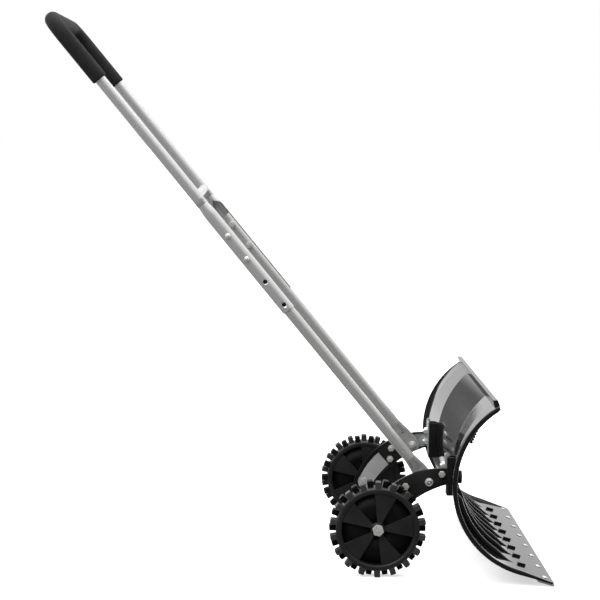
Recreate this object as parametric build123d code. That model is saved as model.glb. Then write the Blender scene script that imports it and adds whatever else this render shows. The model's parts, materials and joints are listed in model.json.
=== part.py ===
"""Wheeled snow pusher: a curved plastic blade on two lugged wheels, with a telescopic U-shaped handle.

Units are millimetres.  +X points forward to the cutting edge, +Y to the left, +Z up, and the ground is Z = 0.
Each side part is built on the left (+Y) side and mirrored for the right.  Places in the side view are written
as (x, z) with x measured from the wheel axle, and every finished part is moved by AXLE_X, so that the origin
is under the middle of the whole machine.
"""
import math
import os
from build123d import *

# ---------------------------------------------------------------- driving dimensions
AXLE_X = 159.83                     # axle, forward of the origin

WHEEL_DIAMETER = 190.0
WHEEL_INNER_Y = 234.0
WHEEL_WIDTH = 36.0
LUG_HEIGHT = 13.0
LUG_COUNT = 18
LUG_ANGLE = 7.0
RIM_RING = 10.5
SECTOR_COUNT = 5
SECTOR_PROUD_INSET = 2.5            # raised sectors below the rim's face
SECTOR_RECESS_INSET = 10.0          # recessed sectors below the rim's face
FIRST_SECTOR_ANGLE = 6.0
HUB_RADIUS = 17.0
BUSH_RADIUS = 10.0
AXLE_RADIUS = 7.0
RUNNING_CLEARANCE = 0.08
AXLE_HEX = 20.0
AXLE_HEX_TURN = 14.0                # of the head, about the axle
AXLE_WASHER_RADIUS = 9.8

LEG_Y = 200.0
TUBE_RADIUS = 11.0
TUBE_WALL = 1.2
HANDLE_ANGLE = 50.3                 # slope of the handle above the ground
PIVOT = (104.0, 178.5)
FLAT_THICKNESS = 5.6
FLAT_WIDTH = 30.0
FLAT_Y = 198.5
FLAT_LENGTH = 32.0
FLARE_END = 60.0
LOWER_TUBE_TOP = 655.0              # stations along the leg, from the pivot
TROUGH_BOTTOM = 442.5
TROUGH_TOP = 683.0
CONE_TOP = 713.0
HOLE_PITCH = 58.0
TOP_HOLE = 631.0
HOLE_COUNT = 4
CROSSBAR_STATION = 729.0
GRIP_STATION = 1022.0
HANDLE_END = 1172.5                 # middle of the grip's crosspiece
BEND_RADIUS = 45.0
CROSSBAR_RADIUS = 9.5
TROUGH_CLEARANCE = 0.35
TROUGH_WALL = 1.6
TROUGH_LIP = 4.0                    # how far the trough wraps past the tube's middle
GRIP_RADIUS = 15.5

BLADE_HALF_WIDTH = 330.0
BLADE_THICKNESS = 4.0
BLADE_RADIUS = 181.0                # back of the blade at its side rims
BLADE_REAR_X = 138.0
BLADE_DISH = 18.0                   # how far forward the flat middle of the blade stands
WING_DISH = 6.0                     # the same beyond the wings, beside the raised rims
BLADE_TOP_ANGLE = 121.0
DISH_Y = 180.0                      # the wings slope back from here
WING_END_Y = 290.0                  # to here
RIM_Y = 322.0
RIM_THICKNESS = 9.0
LIP_SLOPE = 15.5
LIP_THICKNESS = 3.0                 # plate at its front edge
TIP_X = 340.0
TIP_SETBACK = 2.5                   # plate's edge behind the wear strip's edge
TOP_CORNER_RADIUS = 14.0
LIP_CORNER_RADIUS = 9.0
FLANGE_HALF_WIDTH = 318.0
FLANGE_TOP = (213.0, 223.0)         # the stiffening bead's level top, from back to front
FLANGE_TOP_HEIGHT = 361.0
RIB_COUNT = 8
RIB_PITCH = 71.0
RIB_WIDTH = 8.0
RIB_HEIGHT = 9.0
RIB_ANGLES = (188.5, 194.0, 215.0, 233.0, 251.0)    # root, crest start, middle, crest end, root
STOP_LENGTH = 18.0
STOP_X = 283.0

STRIP_THICKNESS = 3.0
STRIP_WIDTH = 36.0
RIVET_COUNT = 8
RIVET_PITCH = 86.5
RIVET_SETBACK = 20.0
RIVET_RADIUS = 3.0
RIVET_HEAD_RADIUS = 5.5

ARM_WEB = (207.0, 210.0)            # ranges across the machine, one side
ARM_FLANGE_INNER_Y = 202.0
ARM_FLANGE = 2.5
INNER_PLATE = (204.8, 207.0)
SPLICE_PLATE = (202.6, 204.8)
ARM_END_X = 139.0
UPRIGHT = (186.0, 214.0)
UPRIGHT_WALL = 2.5
UPRIGHT_DEPTH = 34.0
UPRIGHT_BOTTOM = 152.0
UPRIGHT_TOP = 229.0
BACK_LEG_THICKNESS = 2.6            # zinc bracket's leg behind the upright
BACK_LEG_INNER_Y = 182.0
BACK_LEG_BOTTOM = 176.0
BACK_LEG_TOP = 232.0
ARM_LEG_OUTLINE = [(86.0, 166.5), (118.0, 171.5), (136.0, 175.5), (136.0, 203.0), (118.0, 202.0), (86.0, 196.5)]
ARM_LEG_EYE_RADIUS = 17.0           # round the pivot bolt
EAR_OUTLINE = [(136.4, 203.0), (139.0, 203.0), (139.0, 229.6), (144.0, 229.6), (144.0, 233.5), (141.0, 237.0),
               (136.5, 237.0), (134.5, 230.0), (134.5, 206.4), (136.4, 206.4)]
ARM_CURVE_CENTRE = (164.5, 3.5)     # the arm bends about this point of the side view
INNER_PLATE_ANGLES = (131.0, 175.0)
SPLICE_ANGLES = (118.0, 130.8)

BOLT_RADIUS = 4.0
BOLT_HEX = 13.0
HEAD_HEIGHT = 5.3
NUT_HEIGHT = 6.8
WASHER_RADIUS = 8.4
WASHER_THICKNESS = 1.6
PIVOT_WASHER = (201.4, 204.7)
BLADE_BOLT_HEIGHTS = (187.0, 210.0)
BLADE_BOLT_Y = 196.0
BOLT_TAIL = 3.0                     # bolt standing past its nut
BOLT_END = 0.6                      # bolt standing past the blade's front
CAP_RADIUS = 13.0
CAP_HEIGHT = 12.0
CAP_RECESS = 2.2
BLOCK_ANGLE = 156.2
BLOCK_SIZE = (29.0, 25.0)
BLOCK_HEIGHT = 22.0
BLOCK_GROOVE = 2.0
BLOCK_GROOVE_PITCH = 6.0
BRACKET_BOLT = (129.0, 195.0)
BRACKET_BOLT_RADIUS = 3.0
BRACKET_BOLT_HEX = 12.0
AXLE_NUT_HEIGHT = 8.0
DOME_RADIUS = 5.6                   # heads of the height bolts
AXLE_STUB = 3.0

# ---------------------------------------------------------------- derived places
AXLE_HEIGHT = WHEEL_DIAMETER / 2
SLOPE = math.radians(LIP_SLOPE)
ALONG = (-math.cos(math.radians(HANDLE_ANGLE)), math.sin(math.radians(HANDLE_ANGLE)))
BLADE_CENTRE_X = BLADE_REAR_X + BLADE_RADIUS
BLADE_CENTRE_Z = ((STRIP_THICKNESS + BLADE_RADIUS) - (BLADE_CENTRE_X - TIP_X) * math.sin(SLOPE)) / math.cos(SLOPE)
HOLE_STATIONS = [TOP_HOLE - HOLE_PITCH * index for index in range(HOLE_COUNT)]
BOLT_STATIONS = HOLE_STATIONS[:2]
TROUGH_INNER = TUBE_RADIUS + TROUGH_CLEARANCE
TROUGH_OUTER = TROUGH_INNER + TROUGH_WALL
SPLICE_BOLTS = [(57.0, 169.5), (55.0, 145.5)]


# ---------------------------------------------------------------- helpers
def at(x, y, z):
    """A place measured from the axle, as a point of the machine's frame."""
    return Vector(x + AXLE_X, y, z)


def side_face(points):
    """A face in the side view from (x, z) corners."""
    return make_face(Polyline([at(x, 0, z) for x, z in points], close=True))


def box_face(low_x, high_x, low_z, high_z):
    """An upright rectangle in the side view."""
    return side_face([(low_x, low_z), (high_x, low_z), (high_x, high_z), (low_x, high_z)])


def slab(face, low_y, high_y):
    """A side-view face pushed out to a range of Y."""
    return Pos(0, low_y, 0) * extrude(face, amount=high_y - low_y, dir=(0, 1, 0))


def cross_rod(x, z, radius, low_y, high_y):
    """A cylinder along Y."""
    middle = at(x, (low_y + high_y) / 2, z)
    return Location(middle, (90, 0, 0)) * Cylinder(radius, high_y - low_y)


def cross_hex(x, z, width, low_y, high_y, turn=0.0):
    """A hexagonal prism along Y, given across its flats, turned about its axis by an angle."""
    plane = Plane(origin=at(x, low_y, z), x_dir=(1, 0, 0), z_dir=(0, 1, 0))
    hexagon = RegularPolygon(width / 2, 6, major_radius=False, rotation=turn)
    return extrude(plane * hexagon, amount=high_y - low_y)


def on_leg(station, offset=0.0):
    """The (x, z) place at a station along the handle, offset upwards across it."""
    x = PIVOT[0] + ALONG[0] * station + ALONG[1] * offset
    z = PIVOT[1] + ALONG[1] * station - ALONG[0] * offset
    return x, z


def leg_plane(station, y=LEG_Y):
    """A plane square to the handle leg; its x axis points along +Y."""
    x, z = on_leg(station)
    return Plane(origin=at(x, y, z), x_dir=(0, 1, 0), z_dir=(ALONG[0], 0, ALONG[1]))


def on_blade(angle, radius, centre_x=BLADE_CENTRE_X, centre_z=BLADE_CENTRE_Z):
    """A point of the blade's side profile at an angle about its centre."""
    turn = math.radians(angle)
    return centre_x + radius * math.cos(turn), centre_z + radius * math.sin(turn)


def band_face(centre, inner, outer, first, last):
    """A face in the side view between two arcs about one centre."""
    rows = []
    for radius in (inner, outer):
        turns = [math.radians(angle) for angle in (first, (first + last) / 2, last)]
        rows.append([at(centre[0] + radius * math.cos(t), 0, centre[1] + radius * math.sin(t)) for t in turns])
    near, far = rows
    return make_face([
        ThreePointArc(near[0], near[1], near[2]),
        Line(near[2], far[2]),
        ThreePointArc(far[2], far[1], far[0]),
        Line(far[0], near[0]),
    ])


def mirrored(shape):
    """The right-hand twin of a left-hand part."""
    return mirror(shape, about=Plane.XZ)


# ---------------------------------------------------------------- blade
def arc_centre(start, middle, end):
    """Centre of the circle through three (x, z) points."""
    (ax, az), (bx, bz), (cx, cz) = start, middle, end
    double_area = 2 * (ax * (bz - cz) + bx * (cz - az) + cx * (az - bz))
    a2, b2, c2 = ax * ax + az * az, bx * bx + bz * bz, cx * cx + cz * cz
    centre_x = (a2 * (bz - cz) + b2 * (cz - az) + c2 * (az - bz)) / double_area
    centre_z = (a2 * (cx - bx) + b2 * (ax - cx) + c2 * (bx - ax)) / double_area
    return centre_x, centre_z


def back_arc(dish):
    """Start, middle and end of the blade's back arc where its middle stands forward by dish."""
    top = on_blade(BLADE_TOP_ANGLE, BLADE_RADIUS)
    bottom = on_blade(270 - LIP_SLOPE, BLADE_RADIUS)
    rear_x, rear_z = on_blade((BLADE_TOP_ANGLE + 270 - LIP_SLOPE) / 2, BLADE_RADIUS)
    return top, (rear_x + dish, rear_z), bottom


def dished_circle(dish):
    """Centre and radius of the blade's back arc at a given dish."""
    start, middle, end = back_arc(dish)
    centre = arc_centre(start, middle, end)
    return centre, math.dist(centre, start)


def shifted(point, centre, amount):
    """A point moved towards a centre."""
    gap = math.dist(point, centre)
    return tuple(p + (c - p) * amount / gap for p, c in zip(point, centre))


def lip_point(x, lift):
    """A place over the sloping lip, lift above the wear strip's underside, square to it."""
    rise = (TIP_X - x) * math.tan(SLOPE)
    return x + lift * math.sin(SLOPE), rise + lift * math.cos(SLOPE)


def blade_section(dish, thickness=BLADE_THICKNESS):
    """The blade's cross-section where its back stands forward by dish."""
    start, middle, end = back_arc(dish)
    centre, _ = dished_circle(dish)
    front_start, front_middle, front_end = [shifted(p, centre, thickness) for p in (start, middle, end)]
    tip_back = lip_point(TIP_X - TIP_SETBACK, STRIP_THICKNESS)
    tip_front = lip_point(TIP_X - TIP_SETBACK, STRIP_THICKNESS + LIP_THICKNESS)
    back_start, back_middle, back_end, low_tip, high_tip, lip_end, arc_middle, arc_end = [
        at(x, 0, z) for x, z in (start, middle, end, tip_back, tip_front, front_end, front_middle, front_start)]
    edges = [
        ThreePointArc(back_start, back_middle, back_end),
        Line(back_end, low_tip),
        Line(low_tip, high_tip),
        Line(high_tip, lip_end),
        ThreePointArc(lip_end, arc_middle, arc_end),
        Line(arc_end, back_start),
    ]
    return make_face(edges)


def blade_shell():
    """The curved plate: a flat middle that stands forward, a wing each side, and side rims raised backwards."""
    shell = slab(blade_section(BLADE_DISH), -DISH_Y, DISH_Y)
    for side in (1, -1):
        shell += loft([Pos(0, side * DISH_Y, 0) * blade_section(BLADE_DISH),
                       Pos(0, side * WING_END_Y, 0) * blade_section(WING_DISH)], ruled=True)
        low, high = sorted((side * WING_END_Y, side * RIM_Y))
        shell += slab(blade_section(WING_DISH), low, high)
        low, high = sorted((side * RIM_Y, side * BLADE_HALF_WIDTH))
        shell += slab(blade_section(0, RIM_THICKNESS), low, high)
    return shell


def top_flange():
    """The stiffening bead along the blade's top edge, leaning back, with a level top."""
    back, front = FLANGE_TOP
    face = side_face([
        (back, FLANGE_TOP_HEIGHT),
        (front, FLANGE_TOP_HEIGHT),
        on_blade(BLADE_TOP_ANGLE, BLADE_RADIUS - BLADE_THICKNESS),
        on_blade(BLADE_TOP_ANGLE + 2.0, BLADE_RADIUS - BLADE_THICKNESS + 1.0),
        on_blade(BLADE_TOP_ANGLE + 3.5, BLADE_RADIUS - 2.0),
    ])
    return slab(face, -FLANGE_HALF_WIDTH, FLANGE_HALF_WIDTH)


def dish_at(y):
    """How far forward the blade's middle stands at a distance y from the middle plane."""
    share = (WING_END_Y - abs(y)) / (WING_END_Y - DISH_Y)
    return WING_DISH + (BLADE_DISH - WING_DISH) * min(1.0, max(0.0, share))


def blade_rib(y):
    """One upright rib on the front of the blade, fading out before the lip, with a stop block beyond it."""
    (centre_x, centre_z), radius = dished_circle(dish_at(y))
    front = radius - BLADE_THICKNESS
    root_start, crest_start, middle, crest_end, root_end = RIB_ANGLES

    def place(angle, reach):
        x, z = on_blade(angle, reach, centre_x, centre_z)
        return at(x, 0, z)

    root, crest = front + 1.0, front - RIB_HEIGHT
    edges = [
        ThreePointArc(place(root_start, root), place(middle, root), place(root_end, root)),
        Line(place(root_end, root), place(crest_end, crest)),
        ThreePointArc(place(crest_end, crest), place(middle, crest), place(crest_start, crest)),
        Line(place(crest_start, crest), place(root_start, root)),
    ]
    rib = slab(make_face(edges), y - RIB_WIDTH / 2, y + RIB_WIDTH / 2)
    low = STRIP_THICKNESS + LIP_THICKNESS - 1.0
    stop = side_face([
        lip_point(STOP_X - STOP_LENGTH / 2, low),
        lip_point(STOP_X + STOP_LENGTH / 2, low),
        lip_point(STOP_X + STOP_LENGTH / 2, low + RIB_HEIGHT),
        lip_point(STOP_X - STOP_LENGTH / 2, low + RIB_HEIGHT),
    ])
    return rib + slab(stop, y - RIB_WIDTH / 2, y + RIB_WIDTH / 2)


def corner_cutter(place, radius, side):
    """What is cut off a corner of the plate to round it; place is the corner, its x axis points outwards."""
    block = Box(radius * 2, radius * 2, 60)
    inside = place * Pos(-radius, -side * radius, 0)
    return (place * block) - (inside * Cylinder(radius, 62))


def trimmed_corners(shell):
    """The shell with its two top and two bottom corners rounded off."""
    top_x, top_z = on_blade(BLADE_TOP_ANGLE, BLADE_RADIUS)
    for side in (1, -1):
        top = Location(at(top_x, side * BLADE_HALF_WIDTH, top_z), (0, 90 - BLADE_TOP_ANGLE, 0))
        bottom = Location(at(TIP_X, side * BLADE_HALF_WIDTH, 0), (0, LIP_SLOPE, 0))
        shell -= corner_cutter(top, TOP_CORNER_RADIUS, side)
        shell -= corner_cutter(bottom, LIP_CORNER_RADIUS, side)
    return shell


def rivet_places():
    """Y of each rivet along the cutting edge."""
    return [(index - (RIVET_COUNT - 1) / 2) * RIVET_PITCH for index in range(RIVET_COUNT)]


def rivet_seat():
    """Height of the lip's top at the rivets, above the wear strip's underside."""
    lip_length = TIP_X - TIP_SETBACK - on_blade(270 - LIP_SLOPE, BLADE_RADIUS)[0]
    return STRIP_THICKNESS + LIP_THICKNESS + (BLADE_THICKNESS - LIP_THICKNESS) * RIVET_SETBACK / lip_length


def on_lip(y, back, lift):
    """A place on the sloping lip, back from its tip and lifted off the wear strip's underside."""
    x = TIP_X - back * math.cos(SLOPE) + lift * math.sin(SLOPE)
    z = back * math.sin(SLOPE) + lift * math.cos(SLOPE)
    return Location(at(x, y, z), (0, LIP_SLOPE, 0))


def blade_moldboard():
    """The moulded blade: shell, top flange, ribs, and the holes for its bolts and rivets."""
    blade = trimmed_corners(blade_shell()) + top_flange()
    for index in range(RIB_COUNT):
        blade += blade_rib((index - (RIB_COUNT - 1) / 2) * RIB_PITCH)
    for y in rivet_places():
        blade -= on_lip(y, RIVET_SETBACK, 6) * Cylinder(RIVET_RADIUS, 20)
        blade -= on_lip(y, RIVET_SETBACK, rivet_seat() + 2.0) * Cylinder(RIVET_HEAD_RADIUS, 4.0)
    for side in (1, -1):
        for height in BLADE_BOLT_HEIGHTS:
            middle = at(BLADE_REAR_X + 20, side * BLADE_BOLT_Y, height)
            blade -= Location(middle, (0, 90, 0)) * Cylinder(BOLT_RADIUS, 60)
    return blade


def cutting_edge():
    """The steel wear strip under the blade's front edge."""
    strip = on_lip(0, STRIP_WIDTH / 2, STRIP_THICKNESS / 2) * Box(STRIP_WIDTH, BLADE_HALF_WIDTH * 2, STRIP_THICKNESS)
    for side in (1, -1):
        strip -= corner_cutter(on_lip(side * BLADE_HALF_WIDTH, 0, STRIP_THICKNESS / 2), LIP_CORNER_RADIUS, side)
    for y in rivet_places():
        strip -= on_lip(y, RIVET_SETBACK, 1) * Cylinder(RIVET_RADIUS, 20)
    return strip


def cutting_edge_rivets():
    """Domed rivets that hold the wear strip, flush underneath."""
    rivets = []
    tall = rivet_seat()
    for y in rivet_places():
        shank = on_lip(y, RIVET_SETBACK, tall / 2 + 0.2) * Cylinder(RIVET_RADIUS, tall - 0.4)
        ball = on_lip(y, RIVET_SETBACK, tall - 5.0) * Sphere(7.8)
        keep = on_lip(y, RIVET_SETBACK, tall + 2.0) * Cylinder(RIVET_HEAD_RADIUS, 4.0)
        rivets.append(shank + (ball & keep))
    return Compound(rivets)


# ---------------------------------------------------------------- blade brackets
def bracket_circle():
    """Centre and radius of the blade's back arc where the bolts go through it."""
    return dished_circle(dish_at(BLADE_BOLT_Y))


def square_to_blade(angle, y, lift):
    """A place square to the blade at an angle round its arc, lifted off its back towards the front."""
    (centre_x, centre_z), radius = bracket_circle()
    x, z = on_blade(angle, radius - lift, centre_x, centre_z)
    return Location(at(x, y, z), (0, 90 + (180 - angle), 0))


def upright():
    """Black channel between arm and blade, shaped to the blade's back."""
    low, high = UPRIGHT
    rear, front = ARM_END_X, ARM_END_X + UPRIGHT_DEPTH
    outer = box_face(rear, front, UPRIGHT_BOTTOM, UPRIGHT_TOP)
    inner = box_face(rear + UPRIGHT_WALL, front + 1, UPRIGHT_BOTTOM - 1, UPRIGHT_TOP + 1)
    channel = slab(outer, low, high) - slab(inner, low + UPRIGHT_WALL, high - UPRIGHT_WALL)
    centre, radius = bracket_circle()
    part = channel - cross_rod(*centre, radius - 3, -260, 260) - blade_shell()
    for height in BLADE_BOLT_HEIGHTS:
        part -= Location(at(rear, BLADE_BOLT_Y, height), (0, 90, 0)) * Cylinder(BOLT_RADIUS, 80)
    return part.solids().sort_by(SortBy.VOLUME)[-1]


def zinc_bracket():
    """Zinc-plated angle: one leg lies in the arm, the other is bolted behind the upright, with an ear above it."""
    low, high = INNER_PLATE
    rear = ARM_END_X - BACK_LEG_THICKNESS
    arm_leg = slab(side_face(ARM_LEG_OUTLINE), low, high) + cross_rod(*PIVOT, ARM_LEG_EYE_RADIUS, low, high)
    arm_leg = arm_leg & slab(arm_outline(ARM_FLANGE + 0.3), low, high)
    back_leg = slab(box_face(rear, ARM_END_X, BACK_LEG_BOTTOM, BACK_LEG_TOP), BACK_LEG_INNER_Y, high)
    tie = slab(box_face(rear - 3, rear + 1, BACK_LEG_BOTTOM, EAR_OUTLINE[0][1]), low, high)
    part = arm_leg + back_leg + tie + slab(side_face(EAR_OUTLINE), low, high)
    part -= cross_rod(*PIVOT, BOLT_RADIUS, low - 1, high + 1)
    part -= cross_rod(*BRACKET_BOLT, BRACKET_BOLT_RADIUS, low - 1, high + 1)
    for height in BLADE_BOLT_HEIGHTS:
        part -= Location(at(rear, BLADE_BOLT_Y, height), (0, 90, 0)) * Cylinder(BOLT_RADIUS, 12)
    return part


def bracket_bolt():
    """Short bolt that holds the zinc bracket to the arm's end, with its hex head outside."""
    x, z = BRACKET_BOLT
    shank = cross_rod(x, z, BRACKET_BOLT_RADIUS, INNER_PLATE[0] - 1.0, ARM_WEB[1] + 1)
    return shank + cross_hex(x, z, BRACKET_BOLT_HEX, ARM_WEB[1], ARM_WEB[1] + HEAD_HEIGHT)


def blade_bolts():
    """Bolts through the blade and its brackets, each ending at the blade's front."""
    bolts = []
    (centre_x, centre_z), radius = bracket_circle()
    start = ARM_END_X - BACK_LEG_THICKNESS - NUT_HEIGHT - BOLT_TAIL
    for side in (1, -1):
        for height in BLADE_BOLT_HEIGHTS:
            front_x = centre_x - math.sqrt((radius - BLADE_THICKNESS) ** 2 - (height - centre_z) ** 2)
            length = front_x + BOLT_END - start
            shank = Location(at(start + length / 2, side * BLADE_BOLT_Y, height), (0, 90, 0))
            bolts.append(shank * Cylinder(BOLT_RADIUS, length))
    return Compound(bolts)


def blade_nuts():
    """Nuts behind the brackets."""
    pieces = []
    rear = ARM_END_X - BACK_LEG_THICKNESS
    hexagon = extrude(RegularPolygon(BOLT_HEX / 2, 6, major_radius=False), amount=NUT_HEIGHT / 2, both=True)
    ring = hexagon - Cylinder(BOLT_RADIUS, 40)
    for side in (1, -1):
        for height in BLADE_BOLT_HEIGHTS:
            middle = at(rear - NUT_HEIGHT / 2, side * BLADE_BOLT_Y, height)
            pieces.append(Location(middle, (0, 90, 0)) * ring)
    return Compound(pieces)


def in_front_of_blade(piece):
    """What is left of a piece in front of the blade's plate."""
    return (piece - blade_shell()).solids().sort_by(Axis.X)[-1]


def blade_front_caps():
    """Black pieces on the front of the blade: a round cap low down, a ribbed block above."""
    (centre_x, centre_z), radius = bracket_circle()
    pieces = []
    for side in (1, -1):
        y = side * BLADE_BOLT_Y
        height = BLADE_BOLT_HEIGHTS[0]
        face_x = centre_x - radius + BLADE_THICKNESS
        sunk = BLADE_THICKNESS * 0.8
        middle = at(face_x + (CAP_HEIGHT - sunk) / 2, y, height)
        cap = Location(middle, (0, 90, 0)) * Cylinder(CAP_RADIUS, CAP_HEIGHT + sunk)
        recess = Location(at(face_x, y, height), (0, 90, 0)) * Cylinder(BOLT_RADIUS, 2 * CAP_RECESS)
        pieces.append(in_front_of_blade(cap) - recess)
        place = square_to_blade(BLOCK_ANGLE, y, BLADE_THICKNESS + (BLOCK_HEIGHT - sunk) / 2)
        block = place * Box(BLOCK_SIZE[0], BLOCK_SIZE[1], BLOCK_HEIGHT + sunk)
        outer = square_to_blade(BLOCK_ANGLE, y, BLADE_THICKNESS + BLOCK_HEIGHT)
        for index in range(4):
            groove = Pos((index - 1.5) * BLOCK_GROOVE_PITCH, 0, 0)
            block -= outer * groove * Box(BLOCK_GROOVE, BLOCK_SIZE[1] + 2, 2 * BLOCK_GROOVE)
        pieces.append(in_front_of_blade(block))
    return Compound(pieces)


# ---------------------------------------------------------------- arms
def arm_outline(inset=0.0):
    """Side outline of the curved arm from the upright down to the axle, shrunk by inset."""
    end = 24.0 - inset
    turn = math.sqrt(0.5) * end
    top_start = at(ARM_END_X - 3.0, 0, 206.0 - inset)
    bottom_start = at(ARM_END_X - 3.0, 0, 173.0 + inset)
    top_end = at(-turn, 0, AXLE_HEIGHT + turn)
    bottom_end = at(turn, 0, AXLE_HEIGHT - turn)
    top_middle = at(67.0 + inset * 0.35, 0, 193.5 - inset * 0.95)
    bottom_middle = at(88.0 - inset * 0.35, 0, 151.5 + inset * 0.95)
    edges = [
        ThreePointArc(top_start, top_middle, top_end),
        ThreePointArc(top_end, at(-turn, 0, AXLE_HEIGHT - turn), bottom_end),
        ThreePointArc(bottom_end, bottom_middle, bottom_start),
        Line(bottom_start, top_start),
    ]
    return make_face(edges)


def arm():
    """Black pressed arm: a flat web with a shallow flange turned inwards all round."""
    inner, outer = ARM_WEB
    web = slab(arm_outline(), inner, outer)
    rim = slab(arm_outline(), ARM_FLANGE_INNER_Y, outer) - slab(arm_outline(ARM_FLANGE), 190, inner)
    stub = slab(box_face(ARM_END_X - 4, ARM_END_X, 173.5, 205.8), inner, outer)
    part = web + rim + stub
    part -= cross_rod(*PIVOT, BOLT_RADIUS, 180, 220)
    part -= cross_rod(*BRACKET_BOLT, BRACKET_BOLT_RADIUS, 180, 220)
    part -= cross_rod(0, AXLE_HEIGHT, AXLE_RADIUS, 180, 220)
    return drilled_for_splice(part)


def drilled_for_splice(part):
    """The part with holes for the two bolts of the splice."""
    for x, z in SPLICE_BOLTS:
        part -= cross_rod(x, z, BOLT_RADIUS, 180, 220)
    return part


def radial_wedge(angles, low, high):
    """A wedge of the side view about the arm's centre of curvature."""
    first, last = angles
    far = 400.0
    points = [ARM_CURVE_CENTRE]
    points += [on_blade(angle, far, *ARM_CURVE_CENTRE) for angle in (first, (first + last) / 2, last)]
    return slab(side_face(points), low, high)


def inner_arm_plate():
    """Grey plate nested in the arm, from the splice down to the axle."""
    low, high = INNER_PLATE
    band = slab(arm_outline(6.0), low, high)
    plate = band & Pos(3.0, 0, -2.5) * band & radial_wedge(INNER_PLATE_ANGLES, low - 1, high + 1)
    return plate - cross_rod(0, AXLE_HEIGHT, AXLE_RADIUS, low - 1, high + 1)


def splice_filler():
    """Black filler under the splice plate, level with the inner plates."""
    low, high = INNER_PLATE
    filler = slab(arm_outline(ARM_FLANGE), low, high) & radial_wedge(SPLICE_ANGLES, low - 1, high + 1)
    return drilled_for_splice(filler)


def splice_plate():
    """Black plate bolted over the joint inside the arm."""
    low, high = SPLICE_PLATE
    plate = slab(arm_outline(ARM_FLANGE + 0.2), low, high) & radial_wedge(SPLICE_ANGLES, low - 1, high + 1)
    return drilled_for_splice(plate)


def side_bolt(x, z, inner_y, outer_y, outer_washer=True):
    """A hex bolt along Y: head and washer outside, a plain shank, and its tail through the nut."""
    outside = outer_y + (WASHER_THICKNESS if outer_washer else 0)
    shank = cross_rod(x, z, BOLT_RADIUS, inner_y - NUT_HEIGHT - 2.0, outside)
    head = cross_hex(x, z, BOLT_HEX, outside, outside + HEAD_HEIGHT)
    return shank + head


def washer(x, z, low_y, high_y, radius=WASHER_RADIUS, hole=BOLT_RADIUS):
    """A flat washer round a bolt along Y."""
    return cross_rod(x, z, radius, low_y, high_y) - cross_rod(x, z, hole, low_y - 1, high_y + 1)


def nut(x, z, high_y, width=BOLT_HEX, hole=BOLT_RADIUS, height=NUT_HEIGHT):
    """A hexagonal nut whose outer face is at high_y."""
    return cross_hex(x, z, width, high_y - height, high_y) - cross_rod(x, z, hole, high_y - 20, high_y + 5)


def splice_bolts():
    """The two bolts of one splice."""
    return [side_bolt(x, z, SPLICE_PLATE[0], ARM_WEB[1], outer_washer=False) for x, z in SPLICE_BOLTS]


def splice_nuts():
    """The two nuts of one splice, inside the arm."""
    return [nut(x, z, SPLICE_PLATE[0]) for x, z in SPLICE_BOLTS]


def both_sides(pieces):
    """One node that holds the same pieces on both sides."""
    return Compound(pieces + [mirrored(piece) for piece in pieces])


# ---------------------------------------------------------------- wheels and axles
def lug(angle, low_y, high_y):
    """One tread lug at an angle round the wheel."""
    inner = WHEEL_DIAMETER / 2 - LUG_HEIGHT - 1.0
    half = LUG_ANGLE / 2
    ends = []
    for offset in (-half, 0.0, half):
        turn = math.radians(angle + offset)
        ends.append(at(WHEEL_DIAMETER / 2 * math.cos(turn), 0, AXLE_HEIGHT + WHEEL_DIAMETER / 2 * math.sin(turn)))
    roots = []
    for offset in (half, -half):
        turn = math.radians(angle + offset * 1.15)
        roots.append(at(inner * math.cos(turn), 0, AXLE_HEIGHT + inner * math.sin(turn)))
    face = make_face([
        ThreePointArc(ends[0], ends[1], ends[2]),
        Line(ends[2], roots[0]),
        Line(roots[0], roots[1]),
        Line(roots[1], ends[0]),
    ])
    return slab(face, low_y, high_y)


def sector(angle, inner, outer, low_y, high_y):
    """A wedge of the wheel's disc, half as wide as the sector pitch."""
    half = 360 / SECTOR_COUNT / 4
    return slab(band_face((0, AXLE_HEIGHT), inner, outer, angle - half, angle + half), low_y, high_y)


def wheel():
    """Moulded wheel: rim ring, two staggered rows of lugs, and a disc of raised and recessed sectors."""
    low, high = WHEEL_INNER_Y, WHEEL_INNER_Y + WHEEL_WIDTH
    root = WHEEL_DIAMETER / 2 - LUG_HEIGHT
    ring = cross_rod(0, AXLE_HEIGHT, root, low, high) - cross_rod(0, AXLE_HEIGHT, root - RIM_RING, low - 1, high + 1)
    part = ring + cross_rod(0, AXLE_HEIGHT, root - RIM_RING + 1, low + SECTOR_RECESS_INSET, high - SECTOR_RECESS_INSET)
    for index in range(SECTOR_COUNT):
        angle = FIRST_SECTOR_ANGLE + index * 360 / SECTOR_COUNT
        part += sector(angle, HUB_RADIUS - 2, root - RIM_RING + 1, low + SECTOR_PROUD_INSET, high - SECTOR_PROUD_INSET)
    part += cross_rod(0, AXLE_HEIGHT, HUB_RADIUS, low + SECTOR_PROUD_INSET, high - SECTOR_PROUD_INSET)
    part -= cross_rod(0, AXLE_HEIGHT, BUSH_RADIUS, low - 1, high + 1)
    middle = (low + high) / 2
    for index in range(LUG_COUNT):
        angle = 270 + index * 360 / LUG_COUNT
        part += lug(angle, middle - 0.5, high)
        part += lug(angle + 180 / LUG_COUNT, low, middle + 0.5)
    return part


def wheel_bush():
    """Nylon bush pressed into the wheel's hub; the wheel runs on it."""
    low = WHEEL_INNER_Y + SECTOR_PROUD_INSET
    high = WHEEL_INNER_Y + WHEEL_WIDTH - SECTOR_PROUD_INSET
    bore = cross_rod(0, AXLE_HEIGHT, AXLE_RADIUS + RUNNING_CLEARANCE, low - 1, high + 1)
    return cross_rod(0, AXLE_HEIGHT, BUSH_RADIUS, low, high) - bore


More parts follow.
